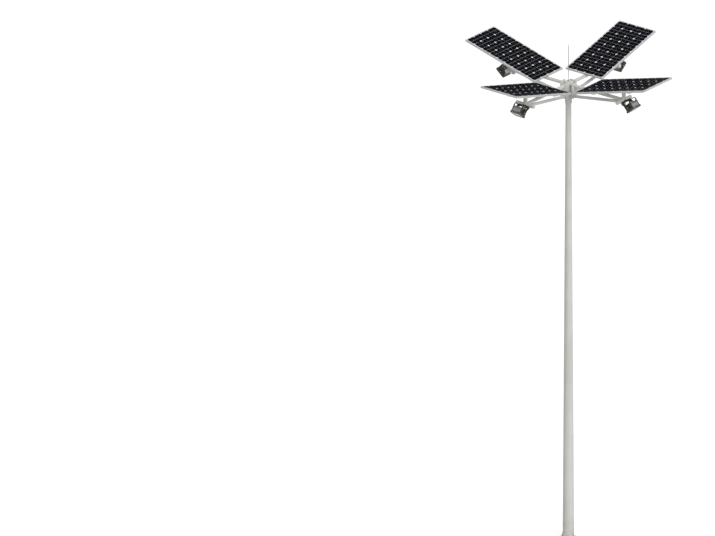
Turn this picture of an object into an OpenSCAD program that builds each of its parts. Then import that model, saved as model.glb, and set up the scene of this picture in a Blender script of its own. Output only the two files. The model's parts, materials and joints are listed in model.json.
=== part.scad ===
// Solar mast light: a tapered steel mast with a bolted hub, four radial brackets,
// four tilted solar panels and four floodlights that tilt in their stirrups.
// Millimetres, +Z up, origin on the axis at the underside of the base plate.

/* [Base] */
// Side of the square base plate
base_w = 400; // [360:1:520]
// Thickness of the base plate
base_t = 20; // [12:1:40]
// Distance between anchor bolt holes along each side
base_bolt_spacing = 300; // [290:1:320]
// Diameter of the anchor bolt holes
base_bolt_d = 28; // [14:1:32]
// Height of the gussets above the base plate
gusset_h = 160; // [60:1:400]
// Thickness of the gussets
gusset_t = 12; // [6:1:20]
// Margin from the gusset's toe to the edge of the base plate
gusset_margin = 12; // [4:1:20]

/* [Mast] */
// Height of the mast's top end above the ground
pole_h = 10684; // [6000:1:13000]
// Outside diameter of the mast at the ground
pole_base_d = 252; // [200:1:290]
// Outside diameter of the mast at its top end
pole_top_d = 120; // [90:1:130]
// Wall of the mast
pole_wall = 5; // [3:0.5:8]

/* [Hub] */
// Wall of the hub's sleeve at its top
hub_wall = 14.5; // [9.5:0.5:34.5]
// Length of the sleeve
hub_sleeve_h = 493; // [440:1:640]
// Thickness of the sleeve's closed top
hub_roof_t = 12; // [6:1:20]
// Gap between the sleeve's bore and the mast
hub_fit = 0.5; // [0.1:0.1:2]
// Distance from the axis to the back of the four bolting plates
hub_plate_r = 143; // [110:1:220]
// Width of the bolting plates
hub_plate_w = 156; // [120:1:200]
// Height of the bolting plates
hub_plate_h = 342; // [340:1:430]
// Thickness of the bolting plates
hub_plate_t = 12; // [8:1:20]
// Thickness of the upright web between sleeve and plate
hub_web_t = 10; // [6:1:16]
// How far the cap stands out past the sleeve
cap_overhang = 5; // [2:0.5:25]
// Thickness of the cap
cap_t = 9; // [5:1:20]

/* [Lightning rod] */
// Diameter of the rod
rod_d = 16; // [10:1:24]
// Length of the rod above the cap
rod_h = 871; // [300:1:1500]
// Length of the rod's pointed end
rod_point_h = 60; // [20:1:120]
// Diameter of the point's blunt tip
rod_tip_d = 2; // [1:0.5:6]
// Diameter of the socket at the rod's foot
rod_socket_d = 40; // [30:1:60]
// Height of that socket
rod_socket_h = 34; // [20:1:80]

/* [Brackets] */
// Distance from the axis to the crossbar and the panel's post
arm_len = 1505; // [1350:1:2000]
// Depth of the upper arm's axis below the hub's top
arm_drop = 55; // [42:1:60]
// Diameter of the upper arm
arm_d = 76; // [60:1:80]
// Wall of the bracket's tubes
tube_wall = 4; // [2.5:0.5:6]
// Thickness of the plate on the arm's root
arm_plate_t = 12; // [8:1:20]
// Diameter of the lower brace
brace_d = 68; // [50:1:72]
// Depth of the brace's root below the arm's axis
brace_root_drop = 248; // [200:1:250]
// Depth of the brace's outer end below the arm's axis
brace_end_drop = 43; // [30:1:50]
// Diameter of the crossbar
crossbar_d = 84; // [82:1:86]
// Length of the crossbar
crossbar_l = 480; // [300:1:800]
// Diameter of the panel's post
post_d = 88; // [87:1:94]
// How far the post runs on below the crossbar's axis
post_foot = 130; // [60:1:160]
// Length of the tilted head plate on the post
head_l = 220; // [170:1:300]
// Width of the head plate
head_w = 150; // [100:1:240]
// Thickness of the head plate
head_t = 10; // [6:1:16]

/* [Solar panels] */
// Length of a panel, along its arm
panel_l = 1956; // [1560:1:1980]
// Width of a panel
panel_w = 992; // [800:1:1000]
// Depth of the panel's frame
panel_t = 45; // [30:1:50]
// Tilt of the panel, outer end up
panel_tilt = 15; // [0:1:25]
// Height of the panel's face above the arm's axis, at the post
panel_rise = 349; // [300:1:600]
// How far the panel's middle lies inside its post, along the slope
panel_inset = 25; // [0:1:60]
// Wall of the frame's profile
frame_wall = 4; // [2:0.5:6]
// Width of the lip that holds the glass
frame_lip = 11; // [8:1:20]
// Thickness of that lip
frame_lip_t = 2; // [1:0.5:4]
// Width of the frame's foot flange
frame_foot = 30; // [20:1:45]
// Thickness of the foot flange
frame_foot_t = 3; // [1.5:0.5:5]
// Thickness of the glass laminate
laminate_t = 6; // [3:0.5:10]
// Gap around the laminate in its frame
laminate_gap = 1; // [0.5:0.5:3]
// Height and width of the rails under a panel
rail_h = 40; // [25:1:60]
// Distance between the two rails
rail_spacing = 1000; // [600:1:1300]
// Wall of the rails
rail_wall = 3; // [2:0.5:5]
// How far each rail stops short of the panel's edge
rail_inset = 6; // [0:1:20]
// Length of the slanting cut under each end of a rail
rail_cut = 80; // [20:1:140]
// Height of a rail's tip, above that cut
rail_tip = 7; // [5:1:16]
// Height of the beam under the rails
beam_h = 50; // [30:1:70]
// Width of that beam
beam_w = 70; // [40:1:90]
// How far the beam runs past each rail
beam_overrun = 60; // [25:1:120]

/* [Floodlights] */
// Downward aim of a floodlight at rest
lamp_tilt = 50; // [0:1:90]
// Width and height of the square front bezel
bezel_w = 260; // [256:1:340]
// Depth of the bezel
bezel_t = 46; // [36:1:60]
// Corner radius of the bezel
bezel_r = 22; // [10:1:40]
// Width of the frame that the bezel makes around its window
bezel_border = 20; // [16:1:24]
// Depth of the parting groove round the bezel and of the slots at its corners
bezel_groove = 4; // [2:0.5:6]
// Width of the parting groove
groove_w = 3; // [2:0.5:6]
// Distance from the bezel's back to the parting groove
groove_back = 19; // [17:1:22]
// Width of the corner slots
slot_w = 6.5; // [3:0.5:8]
// Distance from the bezel's front or back to the nearest slot
slot_margin = 7.5; // [6:0.5:9]
// Distance from the front face to the tilt axis
pivot_back = 86; // [80:1:94]
// How far the side castings lie inside the bezel's sides
side_inset = 6; // [3:1:14]
// Thickness of a side casting
side_t = 22; // [14:1:28]
// Height of a side casting at the bezel
side_h = 210; // [180:1:212]
// Height of a side casting at its handle
handle_h = 212; // [196:1:216]
// Depth of the lamp behind the tilt axis
lamp_back = 158; // [150:1:174]
// Thickness of the handle's grip
grip_t = 12; // [9:1:18]
// Outer corner radius of the handle
grip_r = 40; // [20:1:46]
// Slant of the handle's ends towards the grip
grip_taper = 8; // [2:1:16]
// Radius of the bends where the handle leaves the casting
casting_r = 28; // [10:1:36]
// Radius on the casting's corners at the bezel
casting_edge_r = 2; // [1:0.5:6]
// Depth of the opening in the handle
handle_gap = 61; // [50:1:66]
// Corner radius of that opening
handle_gap_r = 22; // [10:1:26]
// Thickness of the handle above and below its opening
handle_end = 20; // [16:1:30]
// Height of the finned body
body_h = 208; // [160:1:210]
// Gap between the handle's opening and the finned body
body_gap = 4; // [0:1:10]
// Recess of the light modules behind the bezel's front
module_recess = 5; // [2:1:10]
// Thickness of a light module
module_t = 12; // [8:1:16]
// Gap between the stacked light modules
module_gap = 3; // [1:0.5:6]
// Gap between the modules or their carrier and the bezel
window_fit = 1; // [0.5:0.5:3]

/* [Stirrups] */
// Clear distance from the tilt axis to the stirrup's cross plate
stirrup_reach = 190; // [186:1:240]
// Thickness of the cross plate
stirrup_t = 8; // [5:1:12]
// Width of the stirrup's legs and cross plate
stirrup_w = 52; // [40:1:60]
// Thickness of a leg
leg_t = 14; // [8:1:18]
// Gap between the bezel's side and a leg
leg_gap = 6; // [5:1:12]
// Bevel on the corners at a leg's far end
leg_corner = 10; // [2:1:16]
// Radius of the leg's round end
leg_end_r = 32; // [28:1:36]
// Diameter of the tilt bolt
pin_d = 16; // [10:1:20]
// Radial gap round the tilt bolt
pin_fit = 0.08; // [0.05:0.01:0.1]
// Gap between faces that turn against each other
face_fit = 0.3; // [0.2:0.05:0.6]
// Diameter of the boss between casting and leg
boss_d = 68; // [50:1:74]
// Diameter of the tilt knob
knob_d = 58; // [40:1:62]
// Thickness of the tilt knob
knob_t = 8; // [5:1:20]
// Thickness of the saddle between stirrup and crossbar
saddle_t = 8; // [6:1:24]
// Width of the saddle
saddle_w = 100; // [96:1:140]
// Angle of the line from the tilt axis up to the crossbar
stirrup_angle = 21; // [10:1:30]

/* [Hidden] */
$fn = 64;
ARMS = 4;
STEP = 360 / ARMS;
// How far a cut runs past what it cuts, and how far a joined shape sinks in
SINK = 1;
LIGHT_MODULES = 3;

SHARED = ["base_flange", "mast_tube", "hub", "hub_cap", "lightning_rod"];
PER_ARM = [
    "upper_arm", "brace", "arm_head", "panel_rack", "panel_frame", "panel_laminate",
    "stirrup", "lamp_body", "lamp_sides", "lamp_bezel", "light_modules"
];

// Heights and distances that the pieces share
hub_top = pole_h + hub_roof_t;
hub_sleeve_d = pole_top_d + 2 * (hub_fit + hub_wall);
cap_d = hub_sleeve_d + 2 * cap_overhang;
hub_bottom = hub_top - hub_sleeve_h;
plate_bottom = hub_top - hub_plate_h;
arm_z = hub_top - arm_drop;
arm_root = hub_plate_r + hub_plate_t + arm_plate_t;
brace_root_z = arm_z - brace_root_drop;
brace_angle = atan2(brace_root_drop - brace_end_drop, arm_len - arm_root);
// Where the stubs behind a plate begin, inside the sleeve's wall
stub_root = sqrt(pow(hub_sleeve_d / 2, 2) - pow(arm_d / 2, 2)) - SINK / 2;

// Places in a panel's own frame: origin at the middle of the frame's top face
laminate_top = -frame_lip_t;
rail_top = -panel_t;
beam_top = rail_top - rail_h;
head_top = beam_top - beam_h;
head_x = head_top * tan(panel_tilt);
rail_l = panel_w - 2 * rail_inset;
beam_l = rail_spacing + rail_h + 2 * beam_overrun;

// Places in a floodlight's own frame: origin on the tilt axis, +X to the front
bezel_back = pivot_back - bezel_t;
window_w = bezel_w - 2 * bezel_border;
carrier_w = window_w - 2 * window_fit;
module_front = pivot_back - module_recess;
module_back = module_front - module_t;
module_h = (carrier_w - (LIGHT_MODULES - 1) * module_gap) / LIGHT_MODULES;
side_y = bezel_w / 2 - side_inset;
body_y = side_y - side_t;
gap_back = -lamp_back + grip_t;
gap_front = gap_back + handle_gap;
body_back = gap_front + body_gap;
gap_h = handle_h - 2 * handle_end;
grip_h = handle_h - 2 * grip_taper;

// The stirrup: cross plate parallel to the tilt axis, legs outside the bezel
leg_y = bezel_w / 2 + leg_gap;
stirrup_back = stirrup_reach + stirrup_t;
pivot_reach = stirrup_back + saddle_t + crossbar_d / 2;
pivot_x = arm_len + pivot_reach * cos(stirrup_angle);
pivot_z = arm_z - pivot_reach * sin(stirrup_angle);

function pole_d(z) = pole_base_d + (pole_top_d - pole_base_d) * z / pole_h;

// A polygon with its corners rounded: each corner becomes an arc of its own radius
function unit(v) = v / norm(v);
function corner(p, a, b, r, n) =
    let (
        u = unit(a - p),
        v = unit(b - p),
        half = acos(u * v) / 2,
        mid = p + unit(u + v) * r / sin(half),
        start = p + u * r / tan(half) - mid,
        stop = p + v * r / tan(half) - mid,
        sweep = sign(start[0] * stop[1] - start[1] * stop[0]) * (180 - 2 * half)
    )
    [for (k = [0:n]) let (t = sweep * k / n)
        mid + [start[0] * cos(t) - start[1] * sin(t), start[0] * sin(t) + start[1] * cos(t)]];
function rounded(points, radii, n = 8) =
    let (m = len(points))
    [for (i = [0:m - 1])
        each corner(points[i], points[(i + m - 1) % m], points[(i + 1) % m], radii[i], n)];
function rectangle(x0, x1, y0, y1) = [[x1, y1], [x0, y1], [x0, y0], [x1, y0]];
function rounded_square(w, r) = rounded(rectangle(-w / 2, w / 2, -w / 2, w / 2), [r, r, r, r]);

module on_arm(i) rotate([0, 0, STEP * (i - 1)]) children();
module on_slope() {
    translate([arm_len, 0, arm_z + panel_rise]) rotate([0, -panel_tilt, 0]) children();
}
module on_panel() on_slope() translate([-panel_inset, 0, 0]) children();
module at_pivot(angle) translate([pivot_x, 0, pivot_z]) rotate([0, angle, 0]) children();
module both_sides() {
    children();
    mirror([0, 1, 0]) children();
}
// A plate whose outline lies in X and Z, from y0 to y1
module side_plate(points, y0, y1) {
    translate([0, y1, 0]) rotate([90, 0, 0]) linear_extrude(y1 - y0) polygon(points);
}
// A plate whose outline lies in Y and Z, from x0 to x1
module front_plate(points, x0, x1) {
    translate([x0, 0, 0]) rotate([90, 0, 90]) linear_extrude(x1 - x0) polygon(points);
}
// A box centred on X and Y with its top at z
module slab(l, w, h, z = 0) translate([-l / 2, -w / 2, z - h]) cube([l, w, h]);
// A cylinder along X from x0 to x1, and one along Y from y0 to y1
module along_x(x0, x1, d, z = 0) translate([x0, 0, z]) rotate([0, 90, 0]) cylinder(h = x1 - x0, d = d);
module along_y(y0, y1, d) translate([0, y1, 0]) rotate([90, 0, 0]) cylinder(h = y1 - y0, d = d);

// ---- mast ----
module pole_outside(z0, z1, extra = 0) {
    translate([0, 0, z0]) cylinder(h = z1 - z0, d1 = pole_d(z0) + extra, d2 = pole_d(z1) + extra);
}

module base_flange() color("lightgray") difference() {
    toe = base_w / 2 - gusset_margin;
    gusset_top = base_t + gusset_h;
    union() {
        slab(base_w, base_w, base_t, base_t);
        for (i = [1:ARMS]) on_arm(i)
            side_plate([
                [0, base_t - SINK], [toe, base_t - SINK], [toe, base_t + gusset_t],
                [pole_base_d / 2 + gusset_t, gusset_top], [0, gusset_top]
            ], -gusset_t / 2, gusset_t / 2);
    }
    pole_outside(base_t, gusset_top + SINK);
    for (x = [-1, 1], y = [-1, 1])
        translate([x * base_bolt_spacing / 2, y * base_bolt_spacing / 2, -SINK])
            cylinder(h = base_t + 2 * SINK, d = base_bolt_d);
}

module mast_tube() color("lightgray") difference() {
    pole_outside(base_t, pole_h);
    pole_outside(base_t - SINK, pole_h + SINK, -2 * pole_wall);
}

// ---- hub ----
module hub() color("lightgray") difference() {
    union() {
        translate([0, 0, hub_bottom]) cylinder(h = hub_sleeve_h, d = hub_sleeve_d);
        for (i = [1:ARMS]) on_arm(i) {
            translate([hub_plate_r, -hub_plate_w / 2, plate_bottom])
                cube([hub_plate_t, hub_plate_w, hub_plate_h]);
            along_x(stub_root, hub_plate_r + SINK, arm_d, arm_z);
            along_x(stub_root, hub_plate_r + SINK, brace_d, brace_root_z);
            side_plate(rectangle(stub_root, hub_plate_r + SINK, brace_root_z, arm_z),
                -hub_web_t / 2, hub_web_t / 2);
        }
    }
    pole_outside(hub_bottom - SINK, pole_h, 2 * hub_fit);
}

module hub_cap() color("silver") translate([0, 0, hub_top])
    cylinder(h = cap_t, d1 = cap_d, d2 = cap_d - cap_t);

module lightning_rod() color("gray") translate([0, 0, hub_top + cap_t]) {
    cylinder(h = rod_socket_h, d = rod_socket_d);
    cylinder(h = rod_h - rod_point_h, d = rod_d);
    translate([0, 0, rod_h - rod_point_h]) cylinder(h = rod_point_h, d1 = rod_d, d2 = rod_tip_d);
}

// ---- brackets ----
module crossbar_outside() translate([arm_len, 0, arm_z])
    along_y(-crossbar_l / 2, crossbar_l / 2, crossbar_d);
module post_outside() translate([arm_len, 0, arm_z - post_foot])
    cylinder(h = post_foot + panel_rise, d = post_d);

module upper_arm() color("lightgray") difference() {
    plate_back = arm_root - arm_plate_t;
    union() {
        along_x(plate_back, arm_len, arm_d, arm_z);
        translate([plate_back, -hub_plate_w / 2, plate_bottom])
            cube([arm_plate_t, hub_plate_w, hub_plate_h]);
    }
    along_x(arm_root, arm_len, arm_d - 2 * tube_wall, arm_z);
    crossbar_outside();
    post_outside();
}

module brace_tube(d) {
    translate([arm_len, 0, arm_z - brace_end_drop]) rotate([0, -90 - brace_angle, 0])
        cylinder(h = arm_len - arm_root + brace_d, d = d);
}
module brace() color("lightgray") difference() {
    behind = 4 * brace_d;
    brace_tube(brace_d);
    brace_tube(brace_d - 2 * tube_wall);
    along_x(arm_root, arm_len, arm_d, arm_z);
    crossbar_outside();
    post_outside();
    translate([arm_root - behind, -brace_d, arm_z - 2 * brace_root_drop])
        cube([behind, 2 * brace_d, 2 * brace_root_drop]);
}

module arm_head() color("lightgray") {
    difference() {
        union() {
            crossbar_outside();
            post_outside();
        }
        translate([arm_len, 0, arm_z])
            along_y(tube_wall - crossbar_l / 2, crossbar_l / 2 - tube_wall, crossbar_d - 2 * tube_wall);
        translate([arm_len, 0, arm_z - post_foot + tube_wall])
            cylinder(h = post_foot + panel_rise, d = post_d - 2 * tube_wall);
        on_slope() slab(2 * head_l, 2 * head_w, panel_rise, head_top - head_t + panel_rise);
    }
    on_slope() translate([head_x, 0, 0]) slab(head_l, head_w, head_t, head_top);
}

// ---- solar panels ----
module panel_rack() color("silver") on_panel() {
    rail_bore = rail_h - 2 * rail_wall;
    rail_bottom = rail_top - rail_h;
    for (x = [-1, 1]) translate([x * rail_spacing / 2, 0, 0]) difference() {
        front_plate([
            [rail_l / 2, rail_top], [-rail_l / 2, rail_top], [-rail_l / 2, rail_top - rail_tip],
            [rail_cut - rail_l / 2, rail_bottom], [rail_l / 2 - rail_cut, rail_bottom],
            [rail_l / 2, rail_top - rail_tip]
        ], -rail_h / 2, rail_h / 2);
        slab(rail_bore, rail_l + 2 * SINK, rail_bore, rail_top - rail_wall);
    }
    difference() {
        slab(beam_l, beam_w, beam_h, beam_top);
        slab(beam_l + 2 * SINK, beam_w - 2 * tube_wall, beam_h - 2 * tube_wall, beam_top - tube_wall);
    }
}

module panel_frame() color("silver") on_panel() difference() {
    inside = panel_t - frame_lip_t - frame_foot_t;
    slab(panel_l, panel_w, panel_t);
    slab(panel_l - 2 * frame_lip, panel_w - 2 * frame_lip, frame_lip_t + SINK, SINK);
    slab(panel_l - 2 * frame_wall, panel_w - 2 * frame_wall, inside, laminate_top);
    slab(panel_l - 2 * frame_foot, panel_w - 2 * frame_foot, panel_t, laminate_top - SINK);
}

module panel_laminate() color([0.05, 0.06, 0.12]) on_panel() {
    edge = frame_wall + laminate_gap;
    slab(panel_l - 2 * edge, panel_w - 2 * edge, laminate_t, laminate_top);
}

// ---- stirrups ----
module stirrup() color([0.2, 0.17, 0.15]) difference() {
    half_w = stirrup_w / 2;
    at_pivot(stirrup_angle) {
        both_sides() {
            side_plate([
                [0, -half_w], [leg_corner - stirrup_back, -half_w],
                [-stirrup_back, leg_corner - half_w], [-stirrup_back, half_w - leg_corner],
                [leg_corner - stirrup_back, half_w], [0, half_w]
            ], leg_y, leg_y + leg_t);
            along_y(leg_y, leg_y + leg_t, 2 * leg_end_r);
        }
        translate([-stirrup_back, -leg_y - SINK, -half_w])
            cube([stirrup_t, 2 * (leg_y + SINK), stirrup_w]);
        translate([-pivot_reach, -saddle_w / 2, -half_w])
            cube([saddle_t + crossbar_d / 2 + SINK, saddle_w, stirrup_w]);
    }
    at_pivot(0) along_y(-2 * leg_y, 2 * leg_y, pin_d + 2 * pin_fit);
    crossbar_outside();
    post_outside();
}

// ---- floodlights ----
module lamp_body() color([0.28, 0.27, 0.27]) at_pivot(lamp_tilt) {
    translate([body_back, -body_y, -body_h / 2])
        cube([bezel_back - body_back + SINK, 2 * body_y, body_h]);
    translate([bezel_back, -carrier_w / 2, -carrier_w / 2])
        cube([module_back - bezel_back, carrier_w, carrier_w]);
}

module lamp_sides() color([0.2, 0.17, 0.15]) at_pivot(lamp_tilt) both_sides() {
    difference() {
        side_plate(rounded([
            [bezel_back, -side_h / 2], [bezel_back, side_h / 2], [body_back, handle_h / 2],
            [-lamp_back, grip_h / 2], [-lamp_back, -grip_h / 2], [body_back, -handle_h / 2]
        ], [casting_edge_r, casting_edge_r, casting_r, grip_r, grip_r, casting_r]), body_y, side_y);
        side_plate(rounded(rectangle(gap_back, gap_front, -gap_h / 2, gap_h / 2),
            [handle_gap_r, handle_gap_r, handle_gap_r, handle_gap_r]), body_y - SINK, side_y + SINK);
    }
    along_y(side_y - SINK, leg_y - face_fit, boss_d);
    along_y(leg_y - face_fit - SINK, leg_y + leg_t + face_fit + SINK, pin_d);
    along_y(leg_y + leg_t + face_fit, leg_y + leg_t + face_fit + knob_t, knob_d);
}

module rim_cut(x, w) difference() {
    front_plate(rounded_square(bezel_w + 2 * SINK, bezel_r), x, x + w);
    front_plate(rounded_square(bezel_w - 2 * bezel_groove, bezel_r - bezel_groove), bezel_back, pivot_back);
}
module corner_slots(x) intersection() {
    corner_in = bezel_w / 2 - bezel_r;
    corner_w = bezel_r + 2 * SINK;
    rim_cut(x, slot_w);
    for (y = [0, 1], z = [0, 1]) mirror([0, y, 0]) mirror([0, 0, z])
        translate([x - SINK, corner_in, corner_in]) cube([slot_w + 2 * SINK, corner_w, corner_w]);
}
module lamp_bezel() color([0.25, 0.24, 0.23]) at_pivot(lamp_tilt) difference() {
    front_plate(rounded_square(bezel_w, bezel_r), bezel_back, pivot_back);
    rim_cut(bezel_back + groove_back, groove_w);
    corner_slots(bezel_back + slot_margin);
    corner_slots(pivot_back - slot_margin - slot_w);
    front_plate(rectangle(-window_w / 2, window_w / 2, -window_w / 2, window_w / 2),
        bezel_back - SINK, pivot_back + SINK);
}

module light_modules() color([0.87, 0.88, 0.85]) at_pivot(lamp_tilt)
    for (k = [0:LIGHT_MODULES - 1])
        translate([module_back, -carrier_w / 2, k * (module_h + module_gap) - carrier_w / 2])
            cube([module_t, carrier_w, module_h]);

// ---- assembly ----
base_flange();
mast_tube();
hub();
hub_cap();
lightning_rod();
for (i = [1:ARMS]) on_arm(i) {
    upper_arm();
    brace();
    arm_head();
    panel_rack();
    panel_frame();
    panel_laminate();
    stirrup();
    lamp_body();
    lamp_sides();
    lamp_bezel();
    light_modules();
}
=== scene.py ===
# %% [markdown]
# # A solar mast light
# A tall steel mast carries a hub with four brackets at right angles. Each bracket holds a tilted
# solar panel on a post, and an LED floodlight in a stirrup. The exact model gives every size and
# every place. This lesson adds what the eye expects of the real thing: cells, lenses, fins,
# screws, welds, finishes. The first step loads the exact model as a frame and keeps its box, so
# that the end of the lesson can show that nothing has grown past it.

# %% The frame
import json
import math

import bpy
import mathutils
import numpy as np
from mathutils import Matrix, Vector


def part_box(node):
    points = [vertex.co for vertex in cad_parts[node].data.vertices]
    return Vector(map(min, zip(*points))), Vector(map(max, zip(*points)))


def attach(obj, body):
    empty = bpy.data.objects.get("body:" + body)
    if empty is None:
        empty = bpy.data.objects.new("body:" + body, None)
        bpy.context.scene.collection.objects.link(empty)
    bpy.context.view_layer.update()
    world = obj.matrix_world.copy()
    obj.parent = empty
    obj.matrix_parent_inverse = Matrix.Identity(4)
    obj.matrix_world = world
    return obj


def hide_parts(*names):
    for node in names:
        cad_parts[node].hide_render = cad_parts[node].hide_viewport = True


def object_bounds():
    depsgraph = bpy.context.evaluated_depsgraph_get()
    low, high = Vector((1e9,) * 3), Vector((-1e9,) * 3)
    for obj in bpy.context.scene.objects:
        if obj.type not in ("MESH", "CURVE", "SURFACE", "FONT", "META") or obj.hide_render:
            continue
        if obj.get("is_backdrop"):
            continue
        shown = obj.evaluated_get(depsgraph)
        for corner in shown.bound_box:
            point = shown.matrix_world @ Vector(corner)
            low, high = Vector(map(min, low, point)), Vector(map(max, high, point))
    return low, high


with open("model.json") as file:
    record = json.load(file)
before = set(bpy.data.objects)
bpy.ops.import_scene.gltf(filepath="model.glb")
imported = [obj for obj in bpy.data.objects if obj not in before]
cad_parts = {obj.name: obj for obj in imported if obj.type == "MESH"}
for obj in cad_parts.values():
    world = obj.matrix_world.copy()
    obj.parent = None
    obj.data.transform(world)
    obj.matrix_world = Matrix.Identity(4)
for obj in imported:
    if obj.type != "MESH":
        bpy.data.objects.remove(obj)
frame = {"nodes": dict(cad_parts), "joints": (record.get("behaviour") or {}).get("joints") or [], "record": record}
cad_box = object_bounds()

# %% [markdown]
# ## The camera
# A picture of a tall mast is taken from far away with a long lens, so that its parallel edges
# stay parallel. An orthographic camera would do the same, but a long lens also works when the
# camera goes round the mast later on. It stands 450 m off, 38.5 degrees round and 22.3 degrees
# up, and aims beside the mast, which leaves the mast at the right. Aiming beside an upright tips
# it a little in the picture, so the camera is rolled back by that angle: the distance beside it
# over the distance away, times the tangent of the elevation.

# %% The camera
AZIMUTH, ELEVATION, DISTANCE = math.radians(38.5), math.radians(22.3), 450.0
PICTURE_WIDTH, SENSOR = 15.451, 36.0  # metres across the picture at the mast; mm across the sensor
BESIDE, AIM_HEIGHT = 4.558, 6.378  # how far left of the mast the camera aims, and how high
NEAREST, FARTHEST = 1.0, 1200.0

back = np.array([math.sin(AZIMUTH) * math.cos(ELEVATION),
                 -math.cos(AZIMUTH) * math.cos(ELEVATION), math.sin(ELEVATION)])
right = np.array([math.cos(AZIMUTH), math.sin(AZIMUTH), 0.0])
up = np.cross(back, right)
roll = -math.atan(BESIDE / DISTANCE * math.tan(ELEVATION))

camera_data = bpy.data.cameras.new("camera")
camera_data.sensor_width = SENSOR
camera_data.lens = SENSOR * DISTANCE / PICTURE_WIDTH
camera_data.clip_start, camera_data.clip_end = NEAREST, FARTHEST
camera = bpy.data.objects.new("camera", camera_data)
bpy.context.scene.collection.objects.link(camera)
bpy.context.scene.camera = camera

stand = np.eye(4)
stand[:3, 0] = math.cos(roll) * right + math.sin(roll) * up
stand[:3, 1] = math.cos(roll) * up - math.sin(roll) * right
stand[:3, 2] = back
stand[:3, 3] = np.array([0.0, 0.0, AIM_HEIGHT]) - BESIDE * right + DISTANCE * back
camera.matrix_world = mathutils.Matrix(stand.tolist())
print("lens", round(camera_data.lens, 1), "mm, roll", round(math.degrees(roll), 3), "degrees")

# %% [markdown]
# ## Places on the model
# Every new piece is drawn where it is easiest, in millimetres, and then put where it belongs by
# one matrix. A floodlight is drawn looking along its own X with its hinge at the origin, and a
# panel is drawn flat. The matrices come from the model: the hinge's place is in its joint, and
# the panel's place is the middle of its frame's box. Brackets 2, 3 and 4 are bracket 1 turned by
# quarter turns.

# %% Places on the model
MM = 0.001
X, Y, Z = np.eye(3)
BRACKETS = range(1, 5)
LAMP_AIM, STIRRUP_DIP, PANEL_SLOPE = 50, 21, 15  # degrees: two point down, the panel up
PANEL_T = 45.0
PIVOT_REACH = 248.0  # from the crossbar's axis to the floodlight's hinge


def axes(x, y, z, origin=(0, 0, 0), scale=1.0):
    """A 4 x 4 matrix: its columns are three directions, each times the scale, and the origin."""
    matrix = np.eye(4)
    matrix[:3, :3] = np.column_stack([x, y, z]) * scale
    matrix[:3, 3] = origin
    return matrix


def tipped(degrees, origin):
    """Millimetre axes with X turned down about Y: X is (cos, 0, -sin) and Z is (sin, 0, cos)."""
    c, s = math.cos(math.radians(degrees)), math.sin(math.radians(degrees))
    return axes((c, 0, -s), Y, (s, 0, c), origin, MM)


def bracket(i):
    """The turn from bracket 1 to bracket i: i - 1 quarter turns about Z."""
    c, s = ((1, 0), (0, 1), (-1, 0), (0, -1))[i - 1]
    return axes((c, s, 0), (-s, c, 0), Z)


hinge = np.array(next(j["pos_m"] for j in frame["joints"] if j["child"] == "lamp_1"))
LAMP = tipped(LAMP_AIM, hinge)
STIRRUP = tipped(STIRRUP_DIP, hinge)
frame_low, frame_high = (np.array(corner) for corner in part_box("panel_frame_1"))
PANEL = tipped(-PANEL_SLOPE, (frame_low + frame_high) / 2)
PANEL[:3, 3] += PANEL[:3, 2] * PANEL_T / 2
WORLD = axes(X, Y, Z, scale=MM)

# Outlines are drawn flat, and these three stand them up: thickness along X, along Y, or along -X.
ALONG_X, ALONG_Y, ALONG_BACK = axes(Y, Z, X), axes(X, Z, Y), axes(Y, Z, -X)

bar_x, _, bar_z = STIRRUP[:3, 3] / MM - PIVOT_REACH * STIRRUP[:3, 0] / MM
print("crossbar and post stand at x =", round(bar_x, 1), "mm, z =", round(bar_z, 1), "mm")

# %% [markdown]
# ## Surfaces as arrays
# A closed surface can be built face by face with bmesh, or worked out all at once as an array.
# The second way is short, and quick even for the hundreds of screws and lenses that come later.
# A `Shape` holds the points and the corner numbers of the faces. Shapes can be added, placed by a
# matrix and copied to many places. The volume's sign shows whether the faces point outwards, and
# they are turned if not.

# %% Surfaces as arrays
def unit(vectors):
    """Every row over its own length."""
    return vectors / np.linalg.norm(vectors, axis=-1, keepdims=True)


class Shape:
    """A closed surface: its points, its faces in arrays of equal corner counts, and a place in
    the pattern for each point."""

    def __init__(self, points, faces, pattern=None):
        self.points = np.asarray(points, float).reshape(-1, 3)
        self.faces = faces
        self.pattern = np.zeros((len(self.points), 2)) if pattern is None else pattern

    def __add__(self, other):
        """Both surfaces in one. The second's face numbers start after the first's points."""
        later = [faces + len(self.points) for faces in other.faces]
        return Shape(np.vstack([self.points, other.points]), self.faces + later,
                     np.vstack([self.pattern, other.pattern]))

    def outward(self):
        """Turns all faces if the volume is negative. Volume: the sum, over triangles fanned from
        each face's first corner, of that corner times the cross product of the other two."""
        volume = 0.0
        for faces in self.faces:
            corner = self.points[faces]
            crossed = np.cross(corner[:, 1:-1], corner[:, 2:])
            volume += np.einsum("fj,fkj->", corner[:, 0], crossed)
        if volume < 0:
            self.faces = [faces[:, ::-1] for faces in self.faces]
        return self

    def placed(self, matrix):
        """Every point times the matrix's three directions, plus its origin."""
        points = self.points @ matrix[:3, :3].T + matrix[:3, 3]
        return Shape(points, self.faces, self.pattern).outward()

    def copies(self, offsets, patterns=None):
        """One copy per offset: every offset plus every point, and face numbers step along."""
        offsets = np.asarray(offsets, float).reshape(-1, 1, 3)
        step = len(self.points) * np.arange(len(offsets)).reshape(-1, 1, 1)
        if patterns is None:
            patterns = np.zeros((len(offsets), 2))
        return Shape(offsets + self.points,
                     [(faces + step).reshape(-1, faces.shape[1]) for faces in self.faces],
                     (np.reshape(patterns, (-1, 1, 2)) + self.pattern).reshape(-1, 2))


print("two directions of length 1:", unit(np.array([(3, 4, 0), (0, 0, 2)])).tolist())

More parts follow.
